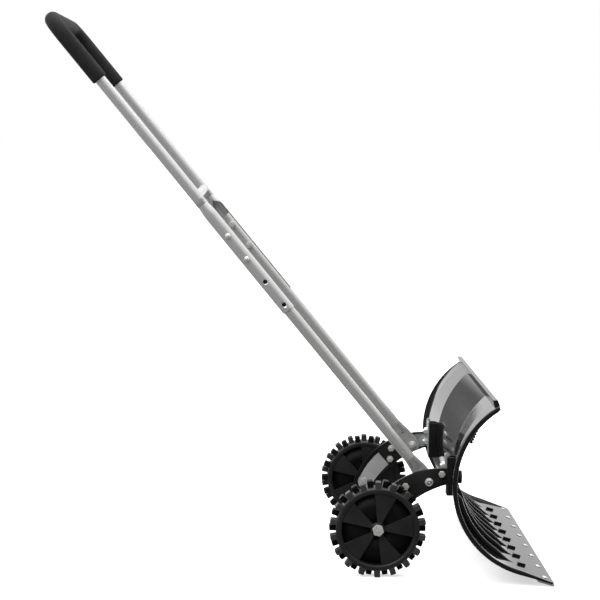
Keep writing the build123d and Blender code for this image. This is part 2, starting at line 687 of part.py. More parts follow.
def axle_bolt():
    """Hex bolt that is the wheel's axle, screwed through the arm."""
    head_y = WHEEL_INNER_Y + WHEEL_WIDTH - SECTOR_PROUD_INSET + 0.4 + WASHER_THICKNESS
    shank = cross_rod(0, AXLE_HEIGHT, AXLE_RADIUS, INNER_PLATE[0] - AXLE_STUB, head_y)
    return shank + cross_hex(0, AXLE_HEIGHT, AXLE_HEX, head_y, head_y + 8.0, AXLE_HEX_TURN)


def axle_washer():
    """Washer under the bolt's head."""
    outer = WHEEL_INNER_Y + WHEEL_WIDTH - SECTOR_PROUD_INSET + 0.4
    return washer(0, AXLE_HEIGHT, outer, outer + WASHER_THICKNESS, AXLE_WASHER_RADIUS, AXLE_RADIUS)


def axle_nut():
    """Nut that locks the axle bolt, between the arm and the spacer."""
    return nut(0, AXLE_HEIGHT, ARM_WEB[1] + AXLE_NUT_HEIGHT, AXLE_HEX, AXLE_RADIUS, AXLE_NUT_HEIGHT)


def wheel_spacer():
    """Tube between the axle's nut and the wheel."""
    low, high = ARM_WEB[1] + AXLE_NUT_HEIGHT, WHEEL_INNER_Y + SECTOR_PROUD_INSET - 0.4
    bore = cross_rod(0, AXLE_HEIGHT, AXLE_RADIUS, low - 1, high + 1)
    return cross_rod(0, AXLE_HEIGHT, 11.0, low, high) - bore


# ---------------------------------------------------------------- lower handle
def lower_tube():
    """Round leg whose lower end is pressed flat round the pivot bolt; its spare holes go through one wall only."""
    round_plane = leg_plane(FLARE_END)
    flat_plane = leg_plane(FLAT_LENGTH, FLAT_Y)
    body = extrude(round_plane * Circle(TUBE_RADIUS), amount=LOWER_TUBE_TOP - FLARE_END)
    flare = loft([flat_plane * RectangleRounded(FLAT_THICKNESS, FLAT_WIDTH, FLAT_THICKNESS * 0.45),
                  round_plane * Circle(TUBE_RADIUS)])
    tongue = extrude(flat_plane * RectangleRounded(FLAT_THICKNESS, FLAT_WIDTH, FLAT_THICKNESS * 0.45),
                     amount=-FLAT_LENGTH)
    eye = cross_rod(*PIVOT, FLAT_WIDTH / 2, FLAT_Y - FLAT_THICKNESS / 2, FLAT_Y + FLAT_THICKNESS / 2)
    tube = body + flare + tongue + eye
    tube -= extrude(leg_plane(FLARE_END) * Circle(TUBE_RADIUS - TUBE_WALL), amount=LOWER_TUBE_TOP)
    tube -= cross_rod(*PIVOT, BOLT_RADIUS + RUNNING_CLEARANCE, 180, 220)
    spare_x, spare_z = on_leg(FLAT_LENGTH + 2.0)
    tube -= cross_rod(spare_x, spare_z, 3.0, 180, FLAT_Y)
    for station in HOLE_STATIONS:
        x, z = on_leg(station)
        inner_end = LEG_Y - 2 * TUBE_RADIUS if station in BOLT_STATIONS else LEG_Y
        tube -= cross_rod(x, z, BOLT_RADIUS, inner_end, LEG_Y + 2 * TUBE_RADIUS)
    return tube


def height_bolts():
    """The two bolts of one leg that hold the upper handle at its height."""
    bolts = []
    outside = LEG_Y + TROUGH_OUTER + 0.3
    inside = LEG_Y - TUBE_RADIUS
    for station in BOLT_STATIONS:
        x, z = on_leg(station)
        shank = cross_rod(x, z, BOLT_RADIUS, inside - NUT_HEIGHT - 1.5, outside)
        dome = Location(at(x, outside, z)) * Sphere(DOME_RADIUS)
        keep = cross_rod(x, z, DOME_RADIUS, outside, outside + DOME_RADIUS)
        bolts.append(shank + (dome & keep))
    return bolts


def height_nuts():
    """The two nuts of one leg, on the inside of the tube."""
    pieces = []
    for station in BOLT_STATIONS:
        x, z = on_leg(station)
        pieces.append(nut(x, z, LEG_Y - TUBE_RADIUS))
    return pieces


# ---------------------------------------------------------------- upper handle
def u_bar(first_station, radius):
    """A round bar along the U of the handle, starting and ending at one station of the legs."""
    corners = []
    for station, y in ((first_station, LEG_Y), (HANDLE_END, LEG_Y), (HANDLE_END, -LEG_Y), (first_station, -LEG_Y)):
        x, z = on_leg(station)
        corners.append(at(x, y, z))
    path = FilletPolyline(*corners, radius=BEND_RADIUS)
    return sweep(leg_plane(first_station) * Circle(radius), path=path)


def trough():
    """Open sleeve at the foot of one upper leg: a cone below the tube, then a trough round the outside."""
    cone = loft([leg_plane(TROUGH_TOP) * Circle(TROUGH_OUTER), leg_plane(CONE_TOP) * Circle(TUBE_RADIUS)])
    cone -= loft([leg_plane(TROUGH_TOP) * Circle(TROUGH_INNER),
                  leg_plane(CONE_TOP) * Circle(TUBE_RADIUS - TUBE_WALL)])
    length = TROUGH_TOP - TROUGH_BOTTOM
    sleeve = extrude(leg_plane(TROUGH_BOTTOM) * (Circle(TROUGH_OUTER) - Circle(TROUGH_INNER)), amount=length)
    open_width = TROUGH_OUTER - TROUGH_LIP + 1.0
    mouth = leg_plane(TROUGH_BOTTOM - 1) * Pos(-TROUGH_LIP - open_width / 2, 0) * Rectangle(open_width, 40)
    sleeve -= extrude(mouth, amount=length + 1)
    slot_width = BOLT_RADIUS * 2 + 0.6
    slot_length = HOLE_PITCH * (HOLE_COUNT - 1) + slot_width
    middle_x, middle_z = on_leg((HOLE_STATIONS[0] + HOLE_STATIONS[-1]) / 2)
    slot_plane = Plane(origin=at(middle_x, LEG_Y + 4, middle_z), x_dir=(ALONG[0], 0, ALONG[1]), z_dir=(0, 1, 0))
    sleeve -= extrude(slot_plane * SlotOverall(slot_length, slot_width), amount=20)
    return cone + sleeve


def upper_handle():
    """The U-shaped tube with its two troughs."""
    tube = u_bar(CONE_TOP, TUBE_RADIUS) - u_bar(CONE_TOP, TUBE_RADIUS - TUBE_WALL)
    foot = trough()
    return tube + foot + mirrored(foot)


def foam_grip():
    """Foam sleeve over the top of the U."""
    return u_bar(GRIP_STATION, GRIP_RADIUS) - u_bar(GRIP_STATION, TUBE_RADIUS)


def crossbar():
    """Round tube welded between the two upper legs, coped to their tubes."""
    x, z = on_leg(CROSSBAR_STATION)
    bar = cross_rod(x, z, CROSSBAR_RADIUS, -LEG_Y, LEG_Y)
    bar -= cross_rod(x, z, CROSSBAR_RADIUS - TUBE_WALL, -LEG_Y - 1, LEG_Y + 1)
    leg = extrude(leg_plane(CROSSBAR_STATION - 60) * Circle(TUBE_RADIUS), amount=120)
    return bar - leg - mirrored(leg)


# ---------------------------------------------------------------- pivot
def pivot_bolt():
    """Bolt that the leg turns on."""
    inner = FLAT_Y - FLAT_THICKNESS / 2 - 0.1 - WASHER_THICKNESS
    return side_bolt(*PIVOT, inner, ARM_WEB[1])


def pivot_washers():
    """Washers beside the arm, between arm and leg, and under the nut."""
    inner = FLAT_Y - FLAT_THICKNESS / 2 - 0.1
    return [
        washer(*PIVOT, ARM_WEB[1], ARM_WEB[1] + WASHER_THICKNESS),
        washer(*PIVOT, PIVOT_WASHER[0], INNER_PLATE[0]),
        washer(*PIVOT, inner - WASHER_THICKNESS, inner),
    ]


def pivot_nut():
    """Nut on the inside of the leg."""
    return nut(*PIVOT, FLAT_Y - FLAT_THICKNESS / 2 - 0.1 - WASHER_THICKNESS)


# ---------------------------------------------------------------- build and write
def all_parts():
    """Every node of the machine by name."""
    parts = {
        "blade_moldboard": blade_moldboard(),
        "cutting_edge": cutting_edge(),
        "cutting_edge_rivets": cutting_edge_rivets(),
        "bracket_bolts": both_sides([bracket_bolt()]),
        "blade_bolts": blade_bolts(),
        "blade_nuts": blade_nuts(),
        "blade_front_caps": blade_front_caps(),
        "splice_bolts": both_sides(splice_bolts()),
        "splice_nuts": both_sides(splice_nuts()),
        "pivot_bolts": both_sides([pivot_bolt()]),
        "pivot_washers": both_sides(pivot_washers()),
        "pivot_nuts": both_sides([pivot_nut()]),
        "axle_washers": both_sides([axle_washer()]),
        "axle_nuts": both_sides([axle_nut()]),
        "height_bolts": both_sides(height_bolts()),
        "height_nuts": both_sides(height_nuts()),
        "upper_handle_tube": upper_handle(),
        "handle_crossbar": crossbar(),
        "foam_grip": foam_grip(),
    }
    paired = {
        "upright": upright,
        "zinc_bracket": zinc_bracket,
        "arm": arm,
        "inner_arm_plate": inner_arm_plate,
        "splice_filler": splice_filler,
        "splice_plate": splice_plate,
        "axle_bolt": axle_bolt,
        "wheel_spacer": wheel_spacer,
        "wheel": wheel,
        "wheel_bush": wheel_bush,
        "lower_tube": lower_tube,
    }
    for name, make in paired.items():
        left = make()
        parts[f"left_{name}"] = left
        parts[f"right_{name}"] = mirrored(left)
    return parts


os.makedirs("parts", exist_ok=True)
for node, shape in all_parts().items():
    export_step(shape, f"parts/{node}.step")
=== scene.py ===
"""Looks of the wheeled snow pusher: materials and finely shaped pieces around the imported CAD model.

Everything is in metres, in the frame of the CAD model: +X forward to the cutting edge, +Y left, +Z up.
"""
import json
import math

import bmesh
import bpy
from mathutils import Matrix, Vector

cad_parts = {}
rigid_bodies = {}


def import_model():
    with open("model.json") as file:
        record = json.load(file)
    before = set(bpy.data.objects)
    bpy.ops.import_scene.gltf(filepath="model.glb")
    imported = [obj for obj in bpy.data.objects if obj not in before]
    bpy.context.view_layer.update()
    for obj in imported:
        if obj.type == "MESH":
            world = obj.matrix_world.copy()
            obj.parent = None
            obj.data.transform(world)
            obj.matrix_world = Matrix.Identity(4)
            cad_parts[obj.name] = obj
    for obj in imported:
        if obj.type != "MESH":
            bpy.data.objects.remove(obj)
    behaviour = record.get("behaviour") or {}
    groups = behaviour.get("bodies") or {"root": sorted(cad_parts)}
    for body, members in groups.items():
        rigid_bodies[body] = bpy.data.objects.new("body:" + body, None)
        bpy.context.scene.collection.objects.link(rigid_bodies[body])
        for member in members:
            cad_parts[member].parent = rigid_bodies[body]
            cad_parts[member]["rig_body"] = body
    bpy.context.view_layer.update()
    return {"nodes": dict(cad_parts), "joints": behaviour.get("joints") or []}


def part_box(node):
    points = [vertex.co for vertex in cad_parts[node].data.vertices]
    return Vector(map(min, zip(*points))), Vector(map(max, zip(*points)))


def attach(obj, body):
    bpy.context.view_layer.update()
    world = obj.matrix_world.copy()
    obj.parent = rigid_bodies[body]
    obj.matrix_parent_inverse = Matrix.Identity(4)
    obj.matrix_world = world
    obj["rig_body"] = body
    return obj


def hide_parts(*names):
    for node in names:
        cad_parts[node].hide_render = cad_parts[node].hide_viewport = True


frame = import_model()

# ------------------------ wheels
WHEEL_LOW, WHEEL_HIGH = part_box("left_wheel")
AXLE = (WHEEL_LOW + WHEEL_HIGH) / 2
WHEEL_RADIUS = (WHEEL_HIGH.z - WHEEL_LOW.z) / 2
WHEEL_WIDTH = WHEEL_HIGH.y - WHEEL_LOW.y
LUG_HEIGHT = 0.013
LUG_COUNT = 18                      # in each of the two staggered rows
LUG_SINK = 0.0015                   # how deep a lug's root goes into the ring
LUG_TIP_GAP = 0.0002
LUG_ROOT_HALF = math.radians(4.3)
LUG_TIP_HALF = math.radians(3.4)
LUG_SHARES = (-1, -0.33, 0.33, 1)
LUG_ROUNDING = 0.0016
LUG_OVERLAP = 0.0004                # how far each row reaches past the middle
RING_WIDTH = 0.0105
RING_LIP = 0.009                    # width of the soft lip inside the ring
DISC_DEPTH = 0.010
DISC_BORE = 0.010
DISC_SINK = 0.001                   # how deep the disc's edge goes into the ring
HUB_DEPTH = 0.0026
HUB_BORE = 0.0101
HUB_FACE_RADIUS = 0.0125
HUB_RADIUS = 0.0138
HUB_SOFT = 0.001
SECTOR_COUNT = 5
FIRST_SECTOR = math.radians(6)
SECTOR_SHARES = (-1.0, -0.97, -0.9, -0.6, -0.3, 0, 0.3, 0.6, 0.9, 0.97, 1.0)
SECTOR_PROFILE = [(0.0125, 0.0035), (0.020, 0.0028), (0.045, 0.0026), (0.064, 0.0026), (0.0685, 0.0029),
                  (0.0712, 0.0034), (0.0725, 0.0036)]    # radius, depth below the wheel's face
SECTOR_EDGE_DROP = 0.0007
SECTOR_BOTTOM = 0.014

# ------------------------ handle
# A station is a distance up the leg from the pivot.
JOINTS = {joint["name"]: joint for joint in frame["joints"]}
PIVOT = Vector(JOINTS["handle_tilt"]["pos_m"])
ALONG = Vector(JOINTS["handle_height"]["axis"])
ACROSS = Vector((ALONG.z, 0, -ALONG.x))
LEG_Y = 0.200
TUBE_RADIUS = 0.011
TUBE_STEPS = 48
TUBE_OVERLAP = 0.004                # how far the tube starts inside its cone
TROUGH_BOTTOM = 0.4425
TROUGH_TOP = 0.683
CONE_TOP = 0.713
HANDLE_END = 1.1725
BEND_RADIUS = 0.045
GRIP_STATION = 1.022
GRIP_RADIUS = 0.0155
GRIP_ROLL = [(0.0, 0.74), (0.0006, 0.90), (0.0018, 0.97), (0.0036, 0.995)]    # from the end, radius share
TROUGH_OUTER = 0.01295
TROUGH_WALL = 0.0016
TROUGH_LIP = 0.004                  # how far the trough's edges reach past the leg's middle
TROUGH_ROWS = 40
TROUGH_STEPS = 40
TROUGH_FOOT_ROW = 0.001
CONE_ROWS = 10
CONE_SINK = 0.0003                  # how far the cone's top goes into the tube
CLOSED_ANGLE = math.pi * 0.999
CLOSING_LEAD = 0.004                # where the trough starts to close, below the cone
CLOSING_LENGTH = 0.02
HOLE_STATIONS = (0.631, 0.573, 0.515, 0.457)
HOLE_RADIUS = 0.0043
HOLE_CENTRE = 0.012                 # middle of a cutting pin, outside the leg's middle
HOLE_REACH = 0.006
EYE_RING = [(-0.0005, 0.0043), (-0.0005, 0.0061), (0.0007, 0.0061), (0.0010, 0.0057), (0.0010, 0.0047),
            (0.0007, 0.0043)]
EYE_BUTTON = [(-0.0005, 0), (-0.0005, 0.0027), (0.0006, 0.0027), (0.0012, 0.0020), (0.0014, 0)]
# black disc that shows between the ring and the button: painted shade for the groove's shadow
EYE_PAINTED_SHADE = [(-0.0005, 0), (-0.0005, 0.0044), (0.0003, 0.0044), (0.0003, 0)]

# ------------------------ blade
BLADE_LOW, BLADE_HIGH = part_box("blade_moldboard")
BLADE_HALF_WIDTH = BLADE_HIGH.y
BLADE_THICKNESS = 0.004
BLADE_RADIUS = 0.181                # back of the side rims
BLADE_DISH = 0.018                  # how far the flat middle stands in front of the side rims
DISH_Y = 0.160                      # half width of the flat middle
RIM_Y = 0.322
RIM_THICKNESS = 0.009
WING_PROFILE = [(DISH_Y, BLADE_DISH), (0.272, 0.0075), (0.302, 0.0070), (RIM_Y, 0.0055)]    # place, dish
WING_SWELL = 0.07                   # slope of the wings at the top edge
SWELL_HEIGHTS = (0.24, 0.34)        # where that slope starts and is full
SWELL_SPREAD = 0.05                 # how much wider it gets on the way up
LIP_SLOPE = math.radians(15.5)
LIP_THICKNESS = 0.003
STRIP_THICKNESS = 0.003
TIP_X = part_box("cutting_edge")[1].x
TIP_SETBACK = 0.0025
TOP_ANGLE = math.radians(121)
LIP_ANGLE = math.radians(270) - LIP_SLOPE
LIP_ALONG = Vector((math.cos(LIP_SLOPE), 0, -math.sin(LIP_SLOPE)))
LIP_UP = Vector((math.sin(LIP_SLOPE), 0, math.cos(LIP_SLOPE)))
BLADE_CENTRE_X = BLADE_LOW.x + BLADE_RADIUS
LIP_FALL = (TIP_X - BLADE_CENTRE_X) * math.sin(LIP_SLOPE)
BLADE_CENTRE_Z = (STRIP_THICKNESS + BLADE_RADIUS + LIP_FALL) / math.cos(LIP_SLOPE)
TOP_CORNER_RADIUS = 0.014
LIP_CORNER_RADIUS = 0.009
LIP_EDGE_SHARE = 0.5                # how far the lip's edge bulges, against the other edges
EDGE_TURNS = (-55, -25, 0, 25, 55)
EDGE_FULLNESS = 0.6                 # 1 is a round edge, and less is squarer
SMALL_ROUNDING = 0.0012
WING_END_Y = 0.290                  # the mesh is finer from here to the rim
BLADE_ROWS = 96
FLAT_COLUMNS = 30
WING_COLUMNS = 18
EDGE_COLUMNS = 6
CORNER_COLUMNS = 10
BEND_GAP = 0.0010
RIM_GAPS = (-0.0006, -0.0001, 0.0001, 0.0006)
FLANGE_TOP = (0.213, 0.223)         # back and front of its level top, ahead of the axle
FLANGE_TOP_HEIGHT = 0.361
FLANGE_HALF_WIDTH = 0.318
FLANGE_FEET = [(0, 0.004), (2.0, 0.003), (3.5, 0.002)]    # degrees below the top edge, depth from the back
RIB_COUNT = 8
RIB_PITCH = 0.071
RIB_WIDTH = 0.008
RIB_HEIGHT = 0.009
RIB_FIRST = math.radians(188.5)
RIB_LAST = math.radians(251)
RIB_STEPS = 60
RIB_SINK = 0.0006                   # how deep a rib goes into the plate
RIB_RISE = 0.12                     # share of its length over which a rib rises
RIB_FALL = 0.72                     # share of its length where it starts to run out
RIB_END_WIDTH = 0.9
RIB_WIDEN = 0.1
RIB_SECTION = [(-1.0, -0.12), (-0.97, 0.45), (-0.86, 0.72), (-0.62, 0.90), (-0.32, 0.975), (0, 1.0),
               (0.32, 0.975), (0.62, 0.90), (0.86, 0.72), (0.97, 0.45), (1.0, -0.12)]
STOP_BACK = 0.0592
STOP_LENGTH = 0.016
STOP_HEIGHT = 0.0062
STOP_SINK = 0.001
RIVET_COUNT = 8
RIVET_PITCH = 0.0865
RIVET_SETBACK = 0.020
RIVET_FOOT = 0.0004
RIVET_SHANK_RADIUS = 0.003
RIVET_HEAD = [(-0.0006, 0.0052), (0.0004, 0.0056), (0.0012, 0.0052), (0.0020, 0.0036), (0.0024, 0.0018),
              (0.0025, 0)]

# ------------------------ surfaces
SAME_PLACE = 0.00002                # points closer than this are one
NOISE_ROUGHNESS = 0.55
NOISE_RANGE = (0.3, 0.7)            # where a noise value mostly lies
PATCH_SHARE = 0.02                  # scale of colour patches, against the grain
TUBE_METALLIC = 0.5
STREAK_SCALE = (6, 900, 900)
STREAK_DEPTH = 0.00002
TUBE_PATCH_SCALE = 30.0
ZINC_METALLIC = 0.55
SPANGLE_SCALE = 420.0
CLOUD_SCALE = 70.0
CLOUD_DEPTH = 0.00001
GLOSS_BLACK = (0.009, 0.009, 0.009)
GLOSS_ROUGHNESS = 0.07
SCUFF_STRETCH = (40, 8, 40)
SCUFF_SCALE = 6.0
RIPPLE_SCALE = 9.0
RIPPLE_DEPTH = 0.00003
PORE_SCALE = 1400.0
PORE_DEPTH = 0.0002
FOAM_CLOUD_SCALE = 60.0

# ------------------------ studio
# A wall is a row of (direction, brightness).
WALL_PEAK = 3.0
TOP_BACK_WALL = [(-1.0, 1.2), (-0.60, 1.6), (-0.225, 1.6), (-0.215, 0.22), (-0.175, 0.20), (-0.166, 0.10),
                 (-0.150, 0.55), (-0.138, 0.95), (1.0, 1.2)]
BACK_WALL = [(-1.0, 1.2), (-0.60, 1.6), (-0.26, 1.6), (-0.235, 0.22), (-0.160, 0.15), (-0.145, 0.12),
             (-0.130, 0.9), (0.10, 1.0), (0.35, 2.2), (1.0, 2.2)]
LOW_BACK_WALL = [(-1.0, 0.8), (-0.60, 1.4), (-0.26, 1.4), (-0.235, 0.12), (-0.075, 0.12), (-0.060, 1.0),
                 (1.0, 1.0)]
FRONT_WALL = 0.10
CEILING = 1.25
FLOOR_GLOW = 0.22
ABOVE_LOW_WALL = [(-1.0, 0.0), (-0.16, 0.0), (-0.11, 1.0)]    # shares of one wall in the next
ABOVE_BACK_WALL = [(-1.0, 0.0), (-0.04, 0.0), (0.06, 1.0)]
REARWARD = [(-1.0, 0.0), (-0.25, 0.0), (0.35, 1.0)]
ABOVE_WALLS = [(-1.0, 0.0), (0.25, 0.0), (0.7, 1.0)]
BELOW_WALLS = [(-1.0, 1.0), (-0.6, 1.0), (-0.3, 0.0)]
LIGHT_SIZE = 2.4
FLOOR_HALF = 60
FLOOR_GAP = 0.0005
FLOOR_COLOR = (0.93, 0.93, 0.93)
FLOOR_BOUNCE = (0.3, 0.3, 0.3)
FLOOR_EMISSION = 0.55
CAMERA_PLACE = (AXLE.x - 0.2209, -3.6151, 0.8837)
CAMERA_ANGLES = (-1.083, 5.771, 0.658)    # yaw, pitch and roll in degrees
CAMERA_LENS = 104.7


# ------------------------ materials
def grey(level):
    """A neutral colour."""
    return (level,) * 3


def new_material(name, color, roughness, metallic=0.0, specular=0.5):
    """A Principled material and the handles needed to add detail to it."""
    material = bpy.data.materials.new(name)
    material.use_nodes = True
    shader = material.node_tree.nodes["Principled BSDF"]
    shader.inputs["Base Color"].default_value = (*color, 1)
    shader.inputs["Roughness"].default_value = roughness
    shader.inputs["Metallic"].default_value = metallic
    shader.inputs["Specular IOR Level"].default_value = specular
    return material, material.node_tree, shader


def node_math(tree, operation, first, second=0.0):
    """One arithmetic node; each input is a socket or a number."""
    node = tree.nodes.new("ShaderNodeMath")
    node.operation = operation
    for socket, value in zip(node.inputs, (first, second)):
        if isinstance(value, (int, float)):
            socket.default_value = value
        else:
            tree.links.new(value, socket)
    return node.outputs["Value"]


def coordinates(tree, scale=(1, 1, 1), turn=(0, 0, 0)):
    """Object coordinates, scaled and turned."""
    source = tree.nodes.new("ShaderNodeTexCoord")
    mapping = tree.nodes.new("ShaderNodeMapping")
    mapping.inputs["Scale"].default_value = scale
    mapping.inputs["Rotation"].default_value = turn
    tree.links.new(source.outputs["Object"], mapping.inputs["Vector"])
    return mapping.outputs["Vector"]


def noise(tree, vector, scale, detail=4.0):
    """A noise texture's value."""
    node = tree.nodes.new("ShaderNodeTexNoise")
    node.inputs["Scale"].default_value = scale
    node.inputs["Detail"].default_value = detail
    node.inputs["Roughness"].default_value = NOISE_ROUGHNESS
    tree.links.new(vector, node.inputs["Vector"])
    return node.outputs["Fac"]


def cells(tree, vector, scale):
    """A Voronoi texture's distance."""
    node = tree.nodes.new("ShaderNodeTexVoronoi")
    node.inputs["Scale"].default_value = scale
    tree.links.new(vector, node.inputs["Vector"])
    return node.outputs["Distance"]


def spread(tree, value, low, high):
    """A noise value mapped to low..high."""
    node = tree.nodes.new("ShaderNodeMapRange")
    node.inputs["From Min"].default_value = NOISE_RANGE[0]
    node.inputs["From Max"].default_value = NOISE_RANGE[1]
    node.inputs["To Min"].default_value = low
    node.inputs["To Max"].default_value = high
    tree.links.new(value, node.inputs["Value"])
    return node.outputs["Result"]


def tint(tree, value, dark, light):
    """A colour that runs from dark to light with a noise value."""
    node = tree.nodes.new("ShaderNodeValToRGB")
    for element, place, color in zip(node.color_ramp.elements, NOISE_RANGE, (dark, light)):
        element.position = place
        element.color = (*color, 1)
    tree.links.new(value, node.inputs["Fac"])
    return node.outputs["Color"]


def bump(tree, shader, value, distance):
    """A bump on the shader from a height value, distance in metres."""
    node = tree.nodes.new("ShaderNodeBump")
    node.inputs["Distance"].default_value = distance
    tree.links.new(value, node.inputs["Height"])
    tree.links.new(node.outputs["Normal"], shader.inputs["Normal"])


def grained(name, dark, light, gloss, grain_scale, grain_depth, metallic=0.0, specular=0.5):
    """A mottled colour, uneven gloss between two roughnesses and a fine surface grain."""
    material, tree, shader = new_material(name, light, gloss[1], metallic, specular)
    place = coordinates(tree)
    patches = noise(tree, place, grain_scale * PATCH_SHARE, detail=5.0)
    tree.links.new(tint(tree, patches, dark, light), shader.inputs["Base Color"])
    tree.links.new(spread(tree, patches, *gloss), shader.inputs["Roughness"])
    bump(tree, shader, noise(tree, place, grain_scale, detail=2.0), grain_depth)
    return material


def tube_material(name, dark, light, gloss):
    """Satin drawn aluminium, streaked along the handle."""
    material, tree, shader = new_material(name, light, gloss[1], TUBE_METALLIC)
    slope = math.atan2(ALONG.z, -ALONG.x)
    streaks = noise(tree, coordinates(tree, STREAK_SCALE, (0, slope, 0)), 1.0, detail=3.0)
    patches = noise(tree, coordinates(tree), TUBE_PATCH_SCALE, detail=5.0)
    tree.links.new(tint(tree, streaks, dark, light), shader.inputs["Base Color"])
    tree.links.new(spread(tree, patches, *gloss), shader.inputs["Roughness"])
    bump(tree, shader, streaks, STREAK_DEPTH)
    return material


def zinc_material(name, dark, light, roughness):
    """Zinc plate: softly clouded, with a faint crystal spangle in its gloss."""
    material, tree, shader = new_material(name, light, roughness, ZINC_METALLIC)
    place = coordinates(tree)
    spangle = cells(tree, place, SPANGLE_SCALE)
    cloud = noise(tree, place, CLOUD_SCALE)
    tree.links.new(tint(tree, cloud, dark, light), shader.inputs["Base Color"])
    tree.links.new(spread(tree, spangle, roughness * 0.9, roughness * 1.15), shader.inputs["Roughness"])
    bump(tree, shader, cloud, CLOUD_DEPTH)
    return material


def wing_swell(tree):
    """Height of the moulded wings near the blade's top edge, where its flat middle lies lowest."""
    parts = tree.nodes.new("ShaderNodeSeparateXYZ")
    source = tree.nodes.new("ShaderNodeTexCoord")
    tree.links.new(source.outputs["Object"], parts.inputs["Vector"])
    low, high = SWELL_HEIGHTS
    sideways = node_math(tree, "ABSOLUTE", parts.outputs["Y"])
    across = node_math(tree, "MAXIMUM", node_math(tree, "SUBTRACT", sideways, DISH_Y), 0.0)
    upward = node_math(tree, "MAXIMUM", node_math(tree, "SUBTRACT", parts.outputs["Z"], low), 0.0)
    share = node_math(tree, "MULTIPLY", upward, 1 / (high - low))
    wider = node_math(tree, "MULTIPLY", share, SWELL_SPREAD)
    reach = node_math(tree, "ADD", WING_PROFILE[1][0] - DISH_Y, wider)
    across = node_math(tree, "MINIMUM", across, reach)
    return node_math(tree, "MULTIPLY", across, node_math(tree, "MULTIPLY", share, WING_SWELL))


def gloss_plastic(name, winged=False):
    """Glossy black moulded plastic with a slight long ripple and fine scuffs."""
    material, tree, shader = new_material(name, GLOSS_BLACK, GLOSS_ROUGHNESS)
    place = coordinates(tree)
    scuffs = noise(tree, coordinates(tree, SCUFF_STRETCH), SCUFF_SCALE, detail=6.0)
    uneven = spread(tree, scuffs, GLOSS_ROUGHNESS * 0.8, GLOSS_ROUGHNESS * 1.4)
    tree.links.new(uneven, shader.inputs["Roughness"])
    darker = tuple(0.9 * channel for channel in GLOSS_BLACK)
    tree.links.new(tint(tree, scuffs, darker, GLOSS_BLACK), shader.inputs["Base Color"])
    bump(tree, shader, noise(tree, place, RIPPLE_SCALE, detail=1.0), RIPPLE_DEPTH)
    if winged:
        finer = shader.inputs["Normal"].links[0].from_socket
        bump(tree, shader, wing_swell(tree), 1.0)
        tree.links.new(finer, shader.inputs["Normal"].links[0].from_node.inputs["Normal"])
    return material


def foam_material():
    """Soft closed-cell foam: very dull, with fine pores."""
    material, tree, shader = new_material("grip_foam", grey(0.012), 0.75, specular=0.22)
    place = coordinates(tree)
    pores = cells(tree, place, PORE_SCALE)
    cloud = noise(tree, place, FOAM_CLOUD_SCALE)
    tree.links.new(tint(tree, cloud, grey(0.009), grey(0.015)), shader.inputs["Base Color"])
    shader.inputs["Sheen Weight"].default_value = 0.03
    shader.inputs["Sheen Roughness"].default_value = 0.5
    bump(tree, shader, pores, PORE_DEPTH)
    return material


MATERIALS = {
    "tube_aluminium": tube_material("tube_aluminium", grey(0.57), (0.67, 0.665, 0.66), (0.20, 0.28)),
    "lower_tube": tube_material("lower_tube", (0.52, 0.515, 0.51), (0.62, 0.615, 0.61), (0.22, 0.30)),
    "zinc_hardware": zinc_material("zinc_hardware", (0.72, 0.71, 0.68), (0.84, 0.83, 0.80), 0.30),
    "zinc_plate": zinc_material("zinc_plate", (0.46, 0.51, 0.50), (0.60, 0.65, 0.64), 0.36),
    "grey_plate": grained("grey_plate", grey(0.40), (0.58, 0.58, 0.57), (0.40, 0.55), 700.0, 0.00007, 0.1),
    "black_steel": grained("black_steel", grey(0.005), grey(0.011), (0.32, 0.46), 700.0, 0.00004),
    "wheel_plastic": grained("wheel_plastic", grey(0.010), grey(0.017), (0.34, 0.48), 900.0, 0.00003),
    # painted shade: a near-black, less glossy copy of the wheel plastic for the recessed disc and the inner
    # row of lugs, standing for the shade in the recess and between the outer lugs
    "shade_painted_plastic": grained("shade_painted_plastic", grey(0.002), grey(0.005), (0.42, 0.55), 900.0, 0.00002,
                              specular=0.18),
    # painted light: a lighter grey copy of the wheel plastic for the outer row of lugs, standing for the
    # light their ends catch
    "light_painted_lug_plastic": grained("light_painted_lug_plastic", (0.024, 0.024, 0.022), (0.048, 0.048, 0.045), (0.34, 0.50),
                           900.0, 0.00006),
    "cap_plastic": grained("cap_plastic", grey(0.006), grey(0.012), (0.35, 0.50), 900.0, 0.00003),
    "blade_gloss": gloss_plastic("blade_gloss"),
    "blade_plate": gloss_plastic("blade_plate", winged=True),
    "wear_steel": grained("wear_steel", (0.42, 0.41, 0.40), (0.58, 0.57, 0.55), (0.3, 0.5), 600.0, 0.00004,
                          0.9),
    "bush_nylon": grained("bush_nylon", (0.55, 0.55, 0.5), (0.68, 0.68, 0.63), (0.45, 0.6), 500.0, 0.00003),
    "grip_foam": foam_material(),
}


# ------------------------ mesh helpers
def from_bmesh(name, bm, material):
    """A new object from a bmesh, with outward normals and smooth shading."""
    bmesh.ops.recalc_face_normals(bm, faces=bm.faces)
    mesh = bpy.data.meshes.new(name)
    bm.to_mesh(mesh)
    bm.free()
    obj = bpy.data.objects.new(name, mesh)
    bpy.context.scene.collection.objects.link(obj)
    mesh.materials.append(MATERIALS[material])
    for polygon in mesh.polygons:
        polygon.use_smooth = True
    return obj


def rounded(obj, width, angle=30):
    """Rounds an object's sharp edges and keeps its flat faces flat."""
    bevel = obj.modifiers.new("round", "BEVEL")
    bevel.width = width
    bevel.segments = 3
    bevel.limit_method = "ANGLE"
    bevel.angle_limit = math.radians(angle)
    bevel.harden_normals = True
    return applied(obj)


def applied(obj):
    """Bakes an object's modifiers into its mesh."""
    graph = bpy.context.evaluated_depsgraph_get()
    mesh = bpy.data.meshes.new_from_object(obj.evaluated_get(graph))
    old = obj.data
    obj.modifiers.clear()
    obj.data = mesh
    bpy.data.meshes.remove(old)
    return obj


